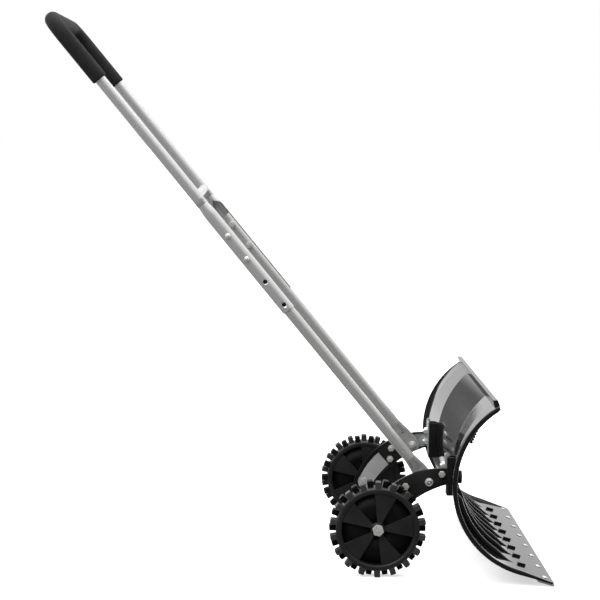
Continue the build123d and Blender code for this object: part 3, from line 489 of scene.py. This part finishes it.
def joined(name, pieces):
    """Several objects as one."""
    bpy.ops.object.select_all(action="DESELECT")
    for piece in pieces:
        piece.select_set(True)
    bpy.context.view_layer.objects.active = pieces[0]
    bpy.ops.object.join()
    pieces[0].name = name
    return pieces[0]


def softened(node, material, width):
    """A copy of a CAD node with its edges rounded, which stands for the node."""
    source = frame["nodes"][node]
    mesh = source.data.copy()
    obj = bpy.data.objects.new(f"{node}_detail", mesh)
    bpy.context.scene.collection.objects.link(obj)
    bm = bmesh.new()
    bm.from_mesh(mesh)
    bmesh.ops.remove_doubles(bm, verts=bm.verts, dist=SAME_PLACE)
    bmesh.ops.dissolve_limit(bm, angle_limit=math.radians(0.5), verts=bm.verts, edges=bm.edges)
    bm.to_mesh(mesh)
    bm.free()
    mesh.materials.clear()
    mesh.materials.append(MATERIALS[material])
    for polygon in mesh.polygons:
        polygon.use_smooth = True
    rounded(obj, width)
    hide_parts(node)
    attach(obj, source["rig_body"])


def circle(middle, side, other, radius, steps):
    """Points of a circle about a middle, turning from side towards other."""
    turns = [2 * math.pi * step / steps for step in range(steps)]
    return [middle + (side * math.cos(turn) + other * math.sin(turn)) * radius for turn in turns]


def lathe(name, profile, centre, axis, material, steps):
    """A closed solid of revolution from (along, radius) points; a radius of 0 closes an end."""
    axis = Vector(axis).normalized()
    side = axis.orthogonal().normalized()
    other = axis.cross(side)
    bm = bmesh.new()
    rings = []
    for along, radius in profile:
        middle = centre + axis * along
        places = circle(middle, side, other, radius, steps) if radius else [middle]
        rings.append([bm.verts.new(place) for place in places])
    has_bore = profile[0][1] > 0 and profile[-1][1] > 0
    if has_bore:
        rings.append(rings[0])
    for low, high in zip(rings, rings[1:]):
        for step in range(steps):
            after = (step + 1) % steps
            corners = [low[step % len(low)], low[after % len(low)],
                       high[after % len(high)], high[step % len(high)]]
            unique = list(dict.fromkeys(corners))
            if len(unique) > 2:
                bm.faces.new(unique)
    return from_bmesh(name, bm, material)


def on_leg(station, y=LEG_Y):
    """A place along the handle's leg, measured from the pivot."""
    return Vector((PIVOT.x, y, PIVOT.z)) + ALONG * station


def swept_tube(name, points, radii, material):
    """A round bar through points with a radius at each."""
    bm = bmesh.new()
    rings = []
    side = ACROSS.copy()
    for index, point in enumerate(points):
        ahead = points[min(index + 1, len(points) - 1)]
        behind = points[max(index - 1, 0)]
        along = (ahead - behind).normalized()
        side = (side - along * side.dot(along)).normalized()
        places = circle(point, side, along.cross(side), radii[index], TUBE_STEPS)
        rings.append([bm.verts.new(place) for place in places])
    for low, high in zip(rings, rings[1:]):
        for step in range(TUBE_STEPS):
            after = (step + 1) % TUBE_STEPS
            bm.faces.new([low[step], low[after], high[after], high[step]])
    bm.faces.new(rings[0][::-1])
    bm.faces.new(rings[-1])
    return from_bmesh(name, bm, material)


def u_points(first_station, straight_steps, bend_steps):
    """Points along the U of the handle from the left leg to the right."""
    points = []
    bend_start = HANDLE_END - BEND_RADIUS
    for step in range(straight_steps):
        points.append(on_leg(first_station + (bend_start - first_station) * step / straight_steps))
    for step in range(bend_steps + 1):
        turn = math.pi / 2 * step / bend_steps
        station = bend_start + BEND_RADIUS * math.sin(turn)
        points.append(on_leg(station, LEG_Y - BEND_RADIUS + BEND_RADIUS * math.cos(turn)))
    half = LEG_Y - BEND_RADIUS
    for step in range(1, straight_steps):
        points.append(on_leg(HANDLE_END, half - half * step / straight_steps))
    middle = [on_leg(HANDLE_END, 0.0)]
    mirror = [Vector((p.x, -p.y, p.z)) for p in reversed(points)]
    return points + middle + mirror


# ------------------------ blade
def arc_centre(start, middle, end):
    """Centre of the circle through three (x, z) points."""
    (ax, az), (bx, bz), (cx, cz) = start, middle, end
    double_area = 2 * (ax * (bz - cz) + bx * (cz - az) + cx * (az - bz))
    a_square = ax * ax + az * az
    b_square = bx * bx + bz * bz
    c_square = cx * cx + cz * cz
    centre_x = (a_square * (bz - cz) + b_square * (cz - az) + c_square * (az - bz)) / double_area
    centre_z = (a_square * (cx - bx) + b_square * (ax - cx) + c_square * (bx - ax)) / double_area
    return centre_x, centre_z


def rim_point(angle, radius=BLADE_RADIUS):
    """A point of the blade's profile at its side rims, on the back unless a radius is given."""
    return BLADE_CENTRE_X + radius * math.cos(angle), BLADE_CENTRE_Z + radius * math.sin(angle)


def blade_circle(dish):
    """Centre, radius and end angles of the back's arc at a given dish."""
    start = rim_point(TOP_ANGLE)
    end = rim_point(LIP_ANGLE)
    rear = rim_point((TOP_ANGLE + LIP_ANGLE) / 2)
    centre = arc_centre(start, (rear[0] + dish, rear[1]), end)
    first = math.atan2(start[1] - centre[1], start[0] - centre[0])
    last = math.atan2(end[1] - centre[1], end[0] - centre[0]) % (2 * math.pi)
    return centre, math.dist(centre, start), first, last


def smooth_step(value):
    """An S-curve from 0 to 1."""
    value = min(max(value, 0.0), 1.0)
    return value * value * (3 - 2 * value)


def dish_at(y):
    """How far forward the plate's back stands at a place across its width, against the side rims."""
    for (near, near_dish), (far, far_dish) in zip(WING_PROFILE, WING_PROFILE[1:]):
        if abs(y) <= far:
            share = max(0.0, (abs(y) - near) / (far - near))
            return near_dish + (far_dish - near_dish) * share
    return 0.0


def lip_length():
    """Length of the straight lip, from the end of the arc to the plate's front edge."""
    x, _ = rim_point(LIP_ANGLE)
    return (TIP_X - TIP_SETBACK - x) / math.cos(LIP_SLOPE)


def blade_place(share, y):
    """Back of the plate, normal towards the snow and thickness; share runs from the top edge in metres."""
    centre, radius, first, last = blade_circle(dish_at(y))
    arc = radius * (last - first)
    full = RIM_THICKNESS if abs(y) > RIM_Y else BLADE_THICKNESS
    if share <= arc:
        turn = first + share / radius
        way = Vector((math.cos(turn), 0, math.sin(turn)))
        return Vector((centre[0], y, centre[1])) + way * radius, -way, full
    x, z = rim_point(LIP_ANGLE)
    past = min(1.0, (share - arc) / lip_length())
    return Vector((x, y, z)) + LIP_ALONG * (share - arc), LIP_UP, full + (LIP_THICKNESS - full) * past


def blade_length(y):
    """Length of the blade's profile from top edge to tip."""
    _, radius, first, last = blade_circle(dish_at(y))
    return radius * (last - first) + lip_length()


def corner_cut(y, inset, radius):
    """How much a rounded corner takes off one end of the profile at a place across the width."""
    reach = radius - inset
    past = abs(y) - (BLADE_HALF_WIDTH - radius)
    if past <= 0:
        return inset
    return inset + reach - math.sqrt(max(reach * reach - past * past, 0.0))


def blade_columns(inset):
    """Places across the blade, closer together at the wings' ends, the rims and the corners."""
    plain = [DISH_Y * k / FLAT_COLUMNS for k in range(FLAT_COLUMNS)]
    wing = [DISH_Y + (WING_END_Y - DISH_Y) * k / WING_COLUMNS for k in range(1, WING_COLUMNS)]
    edge = [WING_END_Y + (RIM_Y - WING_END_Y) * k / EDGE_COLUMNS for k in range(1, EDGE_COLUMNS)]
    bends = [place + gap for place, _ in WING_PROFILE[:3] for gap in (-BEND_GAP, BEND_GAP)]
    bends += [RIM_Y + gap for gap in RIM_GAPS]
    turns = [math.pi / 2 * k / CORNER_COLUMNS for k in range(CORNER_COLUMNS + 1)]
    corner_start = BLADE_HALF_WIDTH - TOP_CORNER_RADIUS
    corner = [corner_start + (TOP_CORNER_RADIUS - inset) * math.sin(turn) for turn in turns]
    right = sorted(set(plain + wing + edge + bends + corner))
    return [-y for y in reversed(right[1:])] + right


def blade_grid(columns, inset, lip_inset):
    """Back, normal and thickness at every row of every column of the plate."""
    grid = []
    for y in columns:
        top_cut = corner_cut(y, inset, TOP_CORNER_RADIUS)
        lip_cut = corner_cut(y, lip_inset, LIP_CORNER_RADIUS)
        run = blade_length(y) - top_cut - lip_cut
        shares = [top_cut + run * row / BLADE_ROWS for row in range(BLADE_ROWS + 1)]
        grid.append([blade_place(share, y) for share in shares])
    return grid


def edge_ring(bm, back, front, outward, place, through):
    """Points of the plate's rounded edge at one place, from its back to its front."""
    ring = [back]
    for degrees in EDGE_TURNS:
        turn = math.radians(degrees)
        side = outward * math.cos(turn) ** EDGE_FULLNESS
        rise = math.copysign(abs(math.sin(turn)) ** EDGE_FULLNESS, math.sin(turn))
        ring.append(bm.verts.new(place + side + through / 2 * (1 + rise)))
    return ring + [front]


def blade_shell():
    """The blade's plate with rounded edges and corners and thicker side rims."""
    inset = BLADE_THICKNESS / 2
    lip_inset = inset * LIP_EDGE_SHARE
    rows = BLADE_ROWS
    grid = blade_grid(blade_columns(inset), inset, lip_inset)
    bm = bmesh.new()
    backs = [[bm.verts.new(place) for place, _, _ in column] for column in grid]
    fronts = [[bm.verts.new(place + normal * thick) for place, normal, thick in column] for column in grid]
    last = len(grid) - 1
    for i in range(last):
        for j in range(rows):
            bm.faces.new([fronts[i][j], fronts[i][j + 1], fronts[i + 1][j + 1], fronts[i + 1][j]])
            bm.faces.new([backs[i][j], backs[i + 1][j], backs[i + 1][j + 1], backs[i][j + 1]])
    loop = [(0, j) for j in range(rows)] + [(i, rows) for i in range(last)]
    loop += [(last, j) for j in range(rows, 0, -1)] + [(i, 0) for i in range(last, 0, -1)]
    rings = []
    for index, (i, j) in enumerate(loop):
        place, normal, thick = grid[i][j]
        after_i, after_j = loop[(index + 1) % len(loop)]
        before_i, before_j = loop[index - 1]
        run = grid[after_i][after_j][0] - grid[before_i][before_j][0]
        outward = run.cross(normal).normalized() * (lip_inset if j == rows else inset)
        rings.append(edge_ring(bm, backs[i][j], fronts[i][j], outward, place, normal * thick))
    for ring, after in zip(rings, rings[1:] + rings[:1]):
        for step in range(len(ring) - 1):
            bm.faces.new([ring[step], after[step], after[step + 1], ring[step + 1]])
    return from_bmesh("blade_shell", bm, "blade_plate")


def spaced(index, count, pitch):
    """Place across the blade of one item in a centred row."""
    return (index - (count - 1) / 2) * pitch


def blade_rib(index):
    """One rounded rib on the blade's front, which rises at its top end and runs out at its lower end."""
    y_middle = spaced(index, RIB_COUNT, RIB_PITCH)
    centre, radius, _, _ = blade_circle(dish_at(y_middle))
    foot = radius - BLADE_THICKNESS + RIB_SINK
    bm = bmesh.new()
    rings = []
    for step in range(RIB_STEPS + 1):
        share = step / RIB_STEPS
        turn = RIB_FIRST + (RIB_LAST - RIB_FIRST) * share
        height = RIB_HEIGHT * smooth_step(share / RIB_RISE)
        height *= 1 - smooth_step((share - RIB_FALL) / (1 - RIB_FALL))
        width = RIB_WIDTH / 2 * (RIB_END_WIDTH + (1 - RIB_END_WIDTH) * smooth_step(share / RIB_WIDEN))
        ring = []
        for across, up in RIB_SECTION:
            reach = foot - (height + RIB_SINK) * up
            ring.append(bm.verts.new((centre[0] + reach * math.cos(turn), y_middle + across * width,
                                      centre[1] + reach * math.sin(turn))))
        rings.append(ring)
    for low, high in zip(rings, rings[1:]):
        for k in range(len(RIB_SECTION)):
            after = (k + 1) % len(RIB_SECTION)
            bm.faces.new([low[k], low[after], high[after], high[k]])
    bm.faces.new(rings[0])
    bm.faces.new(rings[-1][::-1])
    return from_bmesh(f"blade_rib_{index}", bm, "blade_gloss")


def lip_frame(y, back, lift):
    """A place on the lip with axes along it, across it and square to it."""
    matrix = Matrix((LIP_ALONG, Vector((0, 1, 0)), LIP_UP)).transposed().to_4x4()
    matrix.translation = Vector((TIP_X, y, 0.0)) - LIP_ALONG * back + LIP_UP * lift
    return matrix


def stop_block(index):
    """The small rounded block past the end of a rib."""
    middle = STRIP_THICKNESS + LIP_THICKNESS - STOP_SINK + STOP_HEIGHT / 2
    bm = bmesh.new()
    bmesh.ops.create_cube(bm, size=1.0)
    bmesh.ops.scale(bm, vec=(STOP_LENGTH, RIB_WIDTH, STOP_HEIGHT), verts=bm.verts)
    bm.transform(lip_frame(spaced(index, RIB_COUNT, RIB_PITCH), STOP_BACK, middle))
    return rounded(from_bmesh(f"stop_block_{index}", bm, "blade_gloss"), SMALL_ROUNDING)


def top_flange():
    """The stiffening bead along the blade's top edge, with a level top and soft edges."""
    outline = [(AXLE.x + place, FLANGE_TOP_HEIGHT) for place in FLANGE_TOP]
    for degrees, depth in FLANGE_FEET:
        outline.append(rim_point(TOP_ANGLE + math.radians(degrees), BLADE_RADIUS - depth))
    bm = bmesh.new()
    ends = []
    for y in (-FLANGE_HALF_WIDTH, FLANGE_HALF_WIDTH):
        ends.append([bm.verts.new((x, y, z)) for x, z in outline])
    for index in range(len(outline)):
        after = (index + 1) % len(outline)
        bm.faces.new([ends[0][index], ends[0][after], ends[1][after], ends[1][index]])
    bm.faces.new(ends[0])
    bm.faces.new(ends[1][::-1])
    return rounded(from_bmesh("blade_top_flange", bm, "blade_gloss"), SMALL_ROUNDING)


def build_blade():
    """Blade pieces, which stand for the moulded CAD blade."""
    shell = blade_shell()
    ribs = joined("blade_ribs", [blade_rib(index) for index in range(RIB_COUNT)])
    stops = joined("blade_stop_blocks", [stop_block(index) for index in range(RIB_COUNT)])
    flange = top_flange()
    for piece in (shell, ribs, stops, flange):
        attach(piece, "chassis")
    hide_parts("blade_moldboard")


def build_rivets():
    """Domed rivets along the cutting edge."""
    rivets = []
    past = 1 - (RIVET_SETBACK - TIP_SETBACK) / lip_length()
    lift = STRIP_THICKNESS + BLADE_THICKNESS + (LIP_THICKNESS - BLADE_THICKNESS) * past
    foot = RIVET_FOOT - lift
    shank = [(foot, 0), (foot, RIVET_SHANK_RADIUS), (RIVET_HEAD[0][0], RIVET_SHANK_RADIUS)]
    for index in range(RIVET_COUNT):
        place = lip_frame(spaced(index, RIVET_COUNT, RIVET_PITCH), RIVET_SETBACK, lift)
        up = place.to_3x3() @ Vector((0, 0, 1))
        rivets.append(lathe(f"rivet_{index}", shank + RIVET_HEAD, place.translation, up, "zinc_hardware", 24))
    piece = joined("cutting_edge_rivet_heads", rivets)
    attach(piece, "chassis")
    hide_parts("cutting_edge_rivets")


# ------------------------ wheels
def polar(angle, radius, y):
    """A point about the axle."""
    return Vector((AXLE.x + radius * math.cos(angle), y, AXLE.z + radius * math.sin(angle)))


def wheel_lug(angle, low_y, high_y, material):
    """One rounded tread lug."""
    root = WHEEL_RADIUS - LUG_HEIGHT - LUG_SINK
    bm = bmesh.new()
    rows = []
    for radius, half in ((root, LUG_ROOT_HALF), (WHEEL_RADIUS - LUG_TIP_GAP, LUG_TIP_HALF)):
        for y in (low_y, high_y):
            places = [polar(angle + half * share, radius, y) for share in LUG_SHARES]
            rows.append([bm.verts.new(place) for place in places])
    root_low, root_high, tip_low, tip_high = rows
    last = len(LUG_SHARES) - 1
    for low, high in ((root_low, root_high), (tip_low, tip_high), (root_low, tip_low), (root_high, tip_high)):
        for k in range(last):
            bm.faces.new([low[k], low[k + 1], high[k + 1], high[k]])
    for k in (0, last):
        bm.faces.new([root_low[k], root_high[k], tip_high[k], tip_low[k]])
    return rounded(from_bmesh("lug", bm, material), LUG_ROUNDING, angle=40)


def wheel_sector(angle, face_y, into):
    """One raised sector of the disc, sloping down to the rim; into points from the face into the wheel."""
    half = math.pi / SECTOR_COUNT / 2
    bm = bmesh.new()
    tops, bottoms = [], []
    for share in SECTOR_SHARES:
        turn = angle + half * share
        drop = SECTOR_EDGE_DROP if abs(share) == 1 else 0.0
        tops.append([bm.verts.new(polar(turn, radius, face_y + into * (depth + drop)))
                     for radius, depth in SECTOR_PROFILE])
        bottoms.append([bm.verts.new(polar(turn, radius, face_y + into * SECTOR_BOTTOM))
                        for radius, _ in SECTOR_PROFILE])
    last_row = len(SECTOR_PROFILE) - 1
    last_share = len(SECTOR_SHARES) - 1
    for i in range(last_share):
        for j in range(last_row):
            bm.faces.new([tops[i][j], tops[i + 1][j], tops[i + 1][j + 1], tops[i][j + 1]])
            bm.faces.new([bottoms[i][j], bottoms[i][j + 1], bottoms[i + 1][j + 1], bottoms[i + 1][j]])
        for j in (0, last_row):
            bm.faces.new([tops[i][j], bottoms[i][j], bottoms[i + 1][j], tops[i + 1][j]])
    for i in (0, last_share):
        for j in range(last_row):
            bm.faces.new([tops[i][j], tops[i][j + 1], bottoms[i][j + 1], bottoms[i][j]])
    obj = from_bmesh("sector", bm, "wheel_plastic")
    edge = obj.modifiers.new("split", "EDGE_SPLIT")
    edge.split_angle = math.radians(40)
    return applied(obj)


def wheel_rounds(centre):
    """The turned parts of a wheel: tread ring, recessed disc and hub."""
    half = WHEEL_WIDTH / 2
    root = WHEEL_RADIUS - LUG_HEIGHT
    inner = root - RING_WIDTH
    soft = SMALL_ROUNDING
    lip = half - RING_LIP
    ring = [(-half, inner + soft), (-half, root - soft), (-half + soft, root), (half - soft, root),
            (half, root - soft), (half, inner + soft), (half - soft, inner), (lip, inner - soft),
            (0, inner - soft), (-lip, inner - soft), (-half + soft, inner)]
    flat = half - DISC_DEPTH
    edge = inner + DISC_SINK
    disc = [(-flat, DISC_BORE), (-flat, edge), (flat, edge), (flat, DISC_BORE)]
    face = half - HUB_DEPTH
    hub = [(-face, HUB_BORE), (-face, HUB_FACE_RADIUS), (HUB_SOFT - face, HUB_RADIUS),
           (face - HUB_SOFT, HUB_RADIUS), (face, HUB_FACE_RADIUS), (face, HUB_BORE)]
    return [lathe("ring", ring, centre, (0, 1, 0), "wheel_plastic", 144),
            # the recessed disc in painted shade
            lathe("disc", disc, centre, (0, 1, 0), "shade_painted_plastic", 96),
            lathe("hub", hub, centre, (0, 1, 0), "wheel_plastic", 48)]


def build_wheel(side):
    """One moulded wheel; side is +1 for the left."""
    name = "left_wheel" if side > 0 else "right_wheel"
    low, high = sorted((side * (AXLE.y - WHEEL_WIDTH / 2), side * (AXLE.y + WHEEL_WIDTH / 2)))
    middle = (low + high) / 2
    pieces = wheel_rounds(Vector((AXLE.x, middle, AXLE.z)))
    left_row = (middle - LUG_OVERLAP, high)
    right_row = (low, middle + LUG_OVERLAP)
    outer_row, inner_row = (left_row, right_row) if side > 0 else (right_row, left_row)
    for index in range(LUG_COUNT):
        angle = -math.pi / 2 + 2 * math.pi * index / LUG_COUNT
        # outer row in a lighter plastic: painted light
        pieces.append(wheel_lug(angle, *outer_row, "light_painted_lug_plastic"))
        # inner row in a near-black plastic: painted shade
        pieces.append(wheel_lug(angle + math.pi / LUG_COUNT, *inner_row, "shade_painted_plastic"))
    for index in range(SECTOR_COUNT):
        angle = FIRST_SECTOR + 2 * math.pi * index / SECTOR_COUNT
        pieces.append(wheel_sector(angle, high, -1))
        pieces.append(wheel_sector(angle, low, 1))
    wheel = joined(f"{name}_moulding", pieces)
    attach(wheel, name)
    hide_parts(name)


# ------------------------ handle
def build_grip():
    """Foam sleeve over the top of the U, with soft rolled ends."""
    points = u_points(GRIP_STATION, straight_steps=40, bend_steps=20)
    radii = [GRIP_RADIUS] * len(points)
    for index, (gap, share) in enumerate(GRIP_ROLL):
        for end, y in ((index, LEG_Y), (-1 - index, -LEG_Y)):
            points[end] = on_leg(GRIP_STATION + gap, y)
            radii[end] = GRIP_RADIUS * share
    grip = swept_tube("foam_grip_sleeve", points, radii, "grip_foam")
    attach(grip, "upper_handle")
    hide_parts("foam_grip")


def trough_section(side, station):
    """Pairs of outer and inner points of one trough around its leg; the cone closes its open side."""
    share = smooth_step((station - TROUGH_TOP) / (CONE_TOP - TROUGH_TOP))
    closing = smooth_step((station - TROUGH_TOP + CLOSING_LEAD) / CLOSING_LENGTH)
    open_angle = math.acos(-TROUGH_LIP / TROUGH_OUTER)
    limit = open_angle + (CLOSED_ANGLE - open_angle) * closing
    outer = TROUGH_OUTER + (TUBE_RADIUS - CONE_SINK - TROUGH_OUTER) * share
    middle = on_leg(station, side * LEG_Y)
    turns = [-limit + 2 * limit * step / TROUGH_STEPS for step in range(TROUGH_STEPS + 1)]
    ways = [Vector((0, side * math.cos(turn), 0)) + ACROSS * math.sin(turn) for turn in turns]
    return [(middle + way * outer, middle + way * (outer - TROUGH_WALL)) for way in ways]


def hole_cutter(side):
    """Pins that cut the four height holes of one trough."""
    pin = [(-HOLE_REACH, 0), (-HOLE_REACH, HOLE_RADIUS), (HOLE_REACH, HOLE_RADIUS), (HOLE_REACH, 0)]
    pins = []
    for station in HOLE_STATIONS:
        place = on_leg(station, side * (LEG_Y + HOLE_CENTRE))
        pins.append(lathe("cutter", pin, place, (0, 1, 0), "tube_aluminium", 32))
    return joined("cutters", pins)


def trough(side):
    """Open sleeve at the foot of one upper leg, with its cone and four height holes."""
    stations = [TROUGH_BOTTOM, TROUGH_BOTTOM + TROUGH_FOOT_ROW]
    for start, end, rows in ((TROUGH_BOTTOM, TROUGH_TOP, TROUGH_ROWS), (TROUGH_TOP, CONE_TOP, CONE_ROWS)):
        stations += [start + (end - start) * k / rows for k in range(1, rows + 1)]
    bm = bmesh.new()
    outers, inners = [], []
    for station in stations:
        pairs = [(bm.verts.new(outer), bm.verts.new(inner)) for outer, inner in trough_section(side, station)]
        outers.append([outer for outer, _ in pairs])
        inners.append([inner for _, inner in pairs])
    for grid in (outers, inners):
        for low, high in zip(grid, grid[1:]):
            for k in range(TROUGH_STEPS):
                bm.faces.new([low[k], low[k + 1], high[k + 1], high[k]])
    for k in range(TROUGH_STEPS):
        for row in (0, -1):
            bm.faces.new([outers[row][k], outers[row][k + 1], inners[row][k + 1], inners[row][k]])
    for index in range(len(stations) - 1):
        for k in (0, TROUGH_STEPS):
            bm.faces.new([outers[index][k], outers[index + 1][k], inners[index + 1][k], inners[index][k]])
    obj = from_bmesh("trough", bm, "tube_aluminium")
    cutter = hole_cutter(side)
    cut = obj.modifiers.new("holes", "BOOLEAN")
    cut.operation = "DIFFERENCE"
    cut.solver = "EXACT"
    cut.object = cutter
    applied(obj)
    bpy.data.objects.remove(cutter)
    return obj


def build_upper_handle():
    """U-shaped tube with its two troughs, which stands for the CAD tube with its slots."""
    points = u_points(CONE_TOP - TUBE_OVERLAP, straight_steps=30, bend_steps=16)
    tube = swept_tube("tube", points, [TUBE_RADIUS] * len(points), "tube_aluminium")
    handle = joined("upper_handle_frame", [tube, trough(1), trough(-1)])
    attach(handle, "upper_handle")
    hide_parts("upper_handle_tube")


# ------------------------ metalwork and fasteners
SOFT_NODES = {
    "cutting_edge": ("wear_steel", 0.0004),
    "bracket_bolts": ("zinc_hardware", 0.0006),
    "blade_bolts": ("zinc_hardware", 0.0004),
    "blade_nuts": ("zinc_hardware", 0.0006),
    "blade_front_caps": ("cap_plastic", 0.0012),
    "splice_bolts": ("zinc_hardware", 0.0006),
    "splice_nuts": ("zinc_hardware", 0.0006),
    "pivot_bolts": ("zinc_hardware", 0.0006),
    "pivot_washers": ("zinc_hardware", 0.0003),
    "pivot_nuts": ("zinc_hardware", 0.0006),
    "axle_nuts": ("zinc_hardware", 0.0008),
    "axle_washers": ("zinc_hardware", 0.0003),
    "height_nuts": ("zinc_hardware", 0.0006),
    "height_bolts": ("zinc_hardware", 0.0004),
    "handle_crossbar": ("tube_aluminium", 0.0002),
}
SIDE_NODES = {
    "upright": ("black_steel", 0.0008),
    "zinc_bracket": ("zinc_plate", 0.0004),
    "arm": ("black_steel", 0.0006),
    "inner_arm_plate": ("grey_plate", 0.0004),
    "splice_filler": ("black_steel", 0.0003),
    "splice_plate": ("black_steel", 0.0004),
    "axle_bolt": ("zinc_hardware", 0.0005),
    "wheel_spacer": ("zinc_hardware", 0.0004),
    "wheel_bush": ("bush_nylon", 0.0003),
}


def build_metalwork():
    """Rounded copies of the CAD brackets, arms and fasteners, in their own materials."""
    for node, (material, width) in SOFT_NODES.items():
        softened(node, material, width)
    for name, (material, width) in SIDE_NODES.items():
        for side in ("left", "right"):
            softened(f"{side}_{name}", material, width)
    for side in ("left", "right"):
        tube = frame["nodes"][f"{side}_lower_tube"]
        tube.data.materials.clear()
        tube.data.materials.append(MATERIALS["lower_tube"])


def build_pivot_eyes():
    """Raised ring and centre button on the outer face of each pivot bolt's head, with a black disc between
    them as painted shade for the groove's shadow.
    """
    face_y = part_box("pivot_bolts")[1].y
    for side, name in ((1, "left"), (-1, "right")):
        place = Vector((PIVOT.x, side * face_y, PIVOT.z))
        pieces = [lathe("ring", EYE_RING, place, (0, side, 0), "zinc_hardware", 40),
                  lathe("button", EYE_BUTTON, place, (0, side, 0), "zinc_hardware", 32),
                  # black disc in the groove: painted shade
                  lathe("painted_shade_groove", EYE_PAINTED_SHADE, place, (0, side, 0), "black_steel", 40)]
        eye = joined(f"{name}_pivot_eye", pieces)
        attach(eye, "chassis")


# ------------------------ studio
def area_light(name, place, target, power):
    """A soft square light."""
    data = bpy.data.lights.new(name, "AREA")
    data.shape = "RECTANGLE"
    data.size = LIGHT_SIZE
    data.size_y = LIGHT_SIZE
    data.energy = power
    light = bpy.data.objects.new(name, data)
    light.location = place
    light.rotation_euler = (Vector(target) - Vector(place)).to_track_quat("-Z", "Y").to_euler()
    bpy.context.scene.collection.objects.link(light)


def ramp(tree, value, stops):
    """Brightness along a value from -1 to 1; stops are (value, brightness up to WALL_PEAK)."""
    span = tree.nodes.new("ShaderNodeMapRange")
    span.inputs["From Min"].default_value = -1.0
    span.inputs["From Max"].default_value = 1.0
    tree.links.new(value, span.inputs["Value"])
    node = tree.nodes.new("ShaderNodeValToRGB")
    elements = node.color_ramp.elements
    while len(elements) < len(stops):
        elements.new(0.5)
    for element, (place, level) in zip(elements, stops):
        element.position = (place + 1) / 2
        element.color = (*grey(level / WALL_PEAK), 1)
    tree.links.new(span.outputs["Result"], node.inputs["Fac"])
    return node_math(tree, "MULTIPLY", node.outputs["Color"], WALL_PEAK)


def mixed(tree, share, first, second):
    """A value that runs from first to second with share."""
    node = tree.nodes.new("ShaderNodeMix")
    node.data_type = "FLOAT"
    for socket, value in zip((node.inputs[0], node.inputs[2], node.inputs[3]), (share, first, second)):
        if isinstance(value, (int, float)):
            socket.default_value = value
        else:
            tree.links.new(value, socket)
    return node.outputs[0]


def studio_world():
    """A white room to the eye; reflections see a dark front, softboxes behind and a glowing ceiling."""
    world = bpy.data.worlds.new("studio")
    bpy.context.scene.world = world
    world.use_nodes = True
    tree = world.node_tree
    source = tree.nodes.new("ShaderNodeTexCoord")
    parts = tree.nodes.new("ShaderNodeSeparateXYZ")
    tree.links.new(source.outputs["Generated"], parts.inputs["Vector"])
    x, y, z = parts.outputs
    sideways = node_math(tree, "DIVIDE", x, node_math(tree, "MAXIMUM", y, 0.02))
    walls = (LOW_BACK_WALL, BACK_WALL, TOP_BACK_WALL)
    low_wall, high_wall, top_wall = [ramp(tree, sideways, wall) for wall in walls]
    back_wall = mixed(tree, ramp(tree, z, ABOVE_LOW_WALL), low_wall, high_wall)
    back_wall = mixed(tree, ramp(tree, z, ABOVE_BACK_WALL), back_wall, top_wall)
    wall = mixed(tree, ramp(tree, y, REARWARD), FRONT_WALL, back_wall)
    light = mixed(tree, ramp(tree, z, ABOVE_WALLS), wall, CEILING)
    light = mixed(tree, ramp(tree, z, BELOW_WALLS), light, FLOOR_GLOW)
    path = tree.nodes.new("ShaderNodeLightPath")
    seen = mixed(tree, path.outputs["Is Camera Ray"], light, 1.0)
    tree.links.new(seen, tree.nodes["Background"].inputs["Strength"])
    tree.nodes["Background"].inputs["Color"].default_value = (1, 1, 1, 1)


def studio_floor():
    """A pale floor: white to the eye, mid grey in bounced light and left out of glossy reflections."""
    bm = bmesh.new()
    bmesh.ops.create_grid(bm, x_segments=1, y_segments=1, size=FLOOR_HALF)
    mesh = bpy.data.meshes.new("floor")
    bm.to_mesh(mesh)
    bm.free()
    floor = bpy.data.objects.new("floor", mesh)
    floor.location.z = -FLOOR_GAP
    bpy.context.scene.collection.objects.link(floor)
    material, tree, shader = new_material("floor", FLOOR_COLOR, 0.9, specular=0.1)
    seen = tree.nodes.new("ShaderNodeLightPath").outputs["Is Camera Ray"]
    glow = node_math(tree, "MULTIPLY", seen, FLOOR_EMISSION)
    shader.inputs["Emission Color"].default_value = (1, 1, 1, 1)
    tree.links.new(glow, shader.inputs["Emission Strength"])
    tree.links.new(tint(tree, seen, FLOOR_BOUNCE, FLOOR_COLOR), shader.inputs["Base Color"])
    mesh.materials.append(material)
    floor.visible_glossy = False


def build_studio():
    """Floor, surroundings and soft lights."""
    studio_floor()
    studio_world()
    area_light("key", (-1.4, -2.2, 3.0), (0, 0, 0.4), 60)
    area_light("top", (0.4, 0.6, 3.2), (0.1, 0, 0.3), 45)


def build_camera():
    """Camera of a long lens at the machine's right, slightly above it."""
    yaw, pitch, roll = [math.radians(degrees) for degrees in CAMERA_ANGLES]
    data = bpy.data.cameras.new("camera")
    data.lens = CAMERA_LENS
    data.sensor_width = 36
    camera = bpy.data.objects.new("camera", data)
    aim = Matrix.Rotation(yaw, 4, "Z") @ Matrix.Rotation(math.pi / 2 - pitch, 4, "X")
    turn = aim @ Matrix.Rotation(roll, 4, "Z")
    camera.matrix_world = Matrix.Translation(CAMERA_PLACE) @ turn
    bpy.context.scene.collection.objects.link(camera)
    bpy.context.scene.camera = camera


build_camera()
build_studio()
build_blade()
build_rivets()
for wheel_side in (1, -1):
    build_wheel(wheel_side)
build_grip()
build_upper_handle()
build_metalwork()
build_pivot_eyes()
bpy.context.scene.view_settings.view_transform = "Standard"
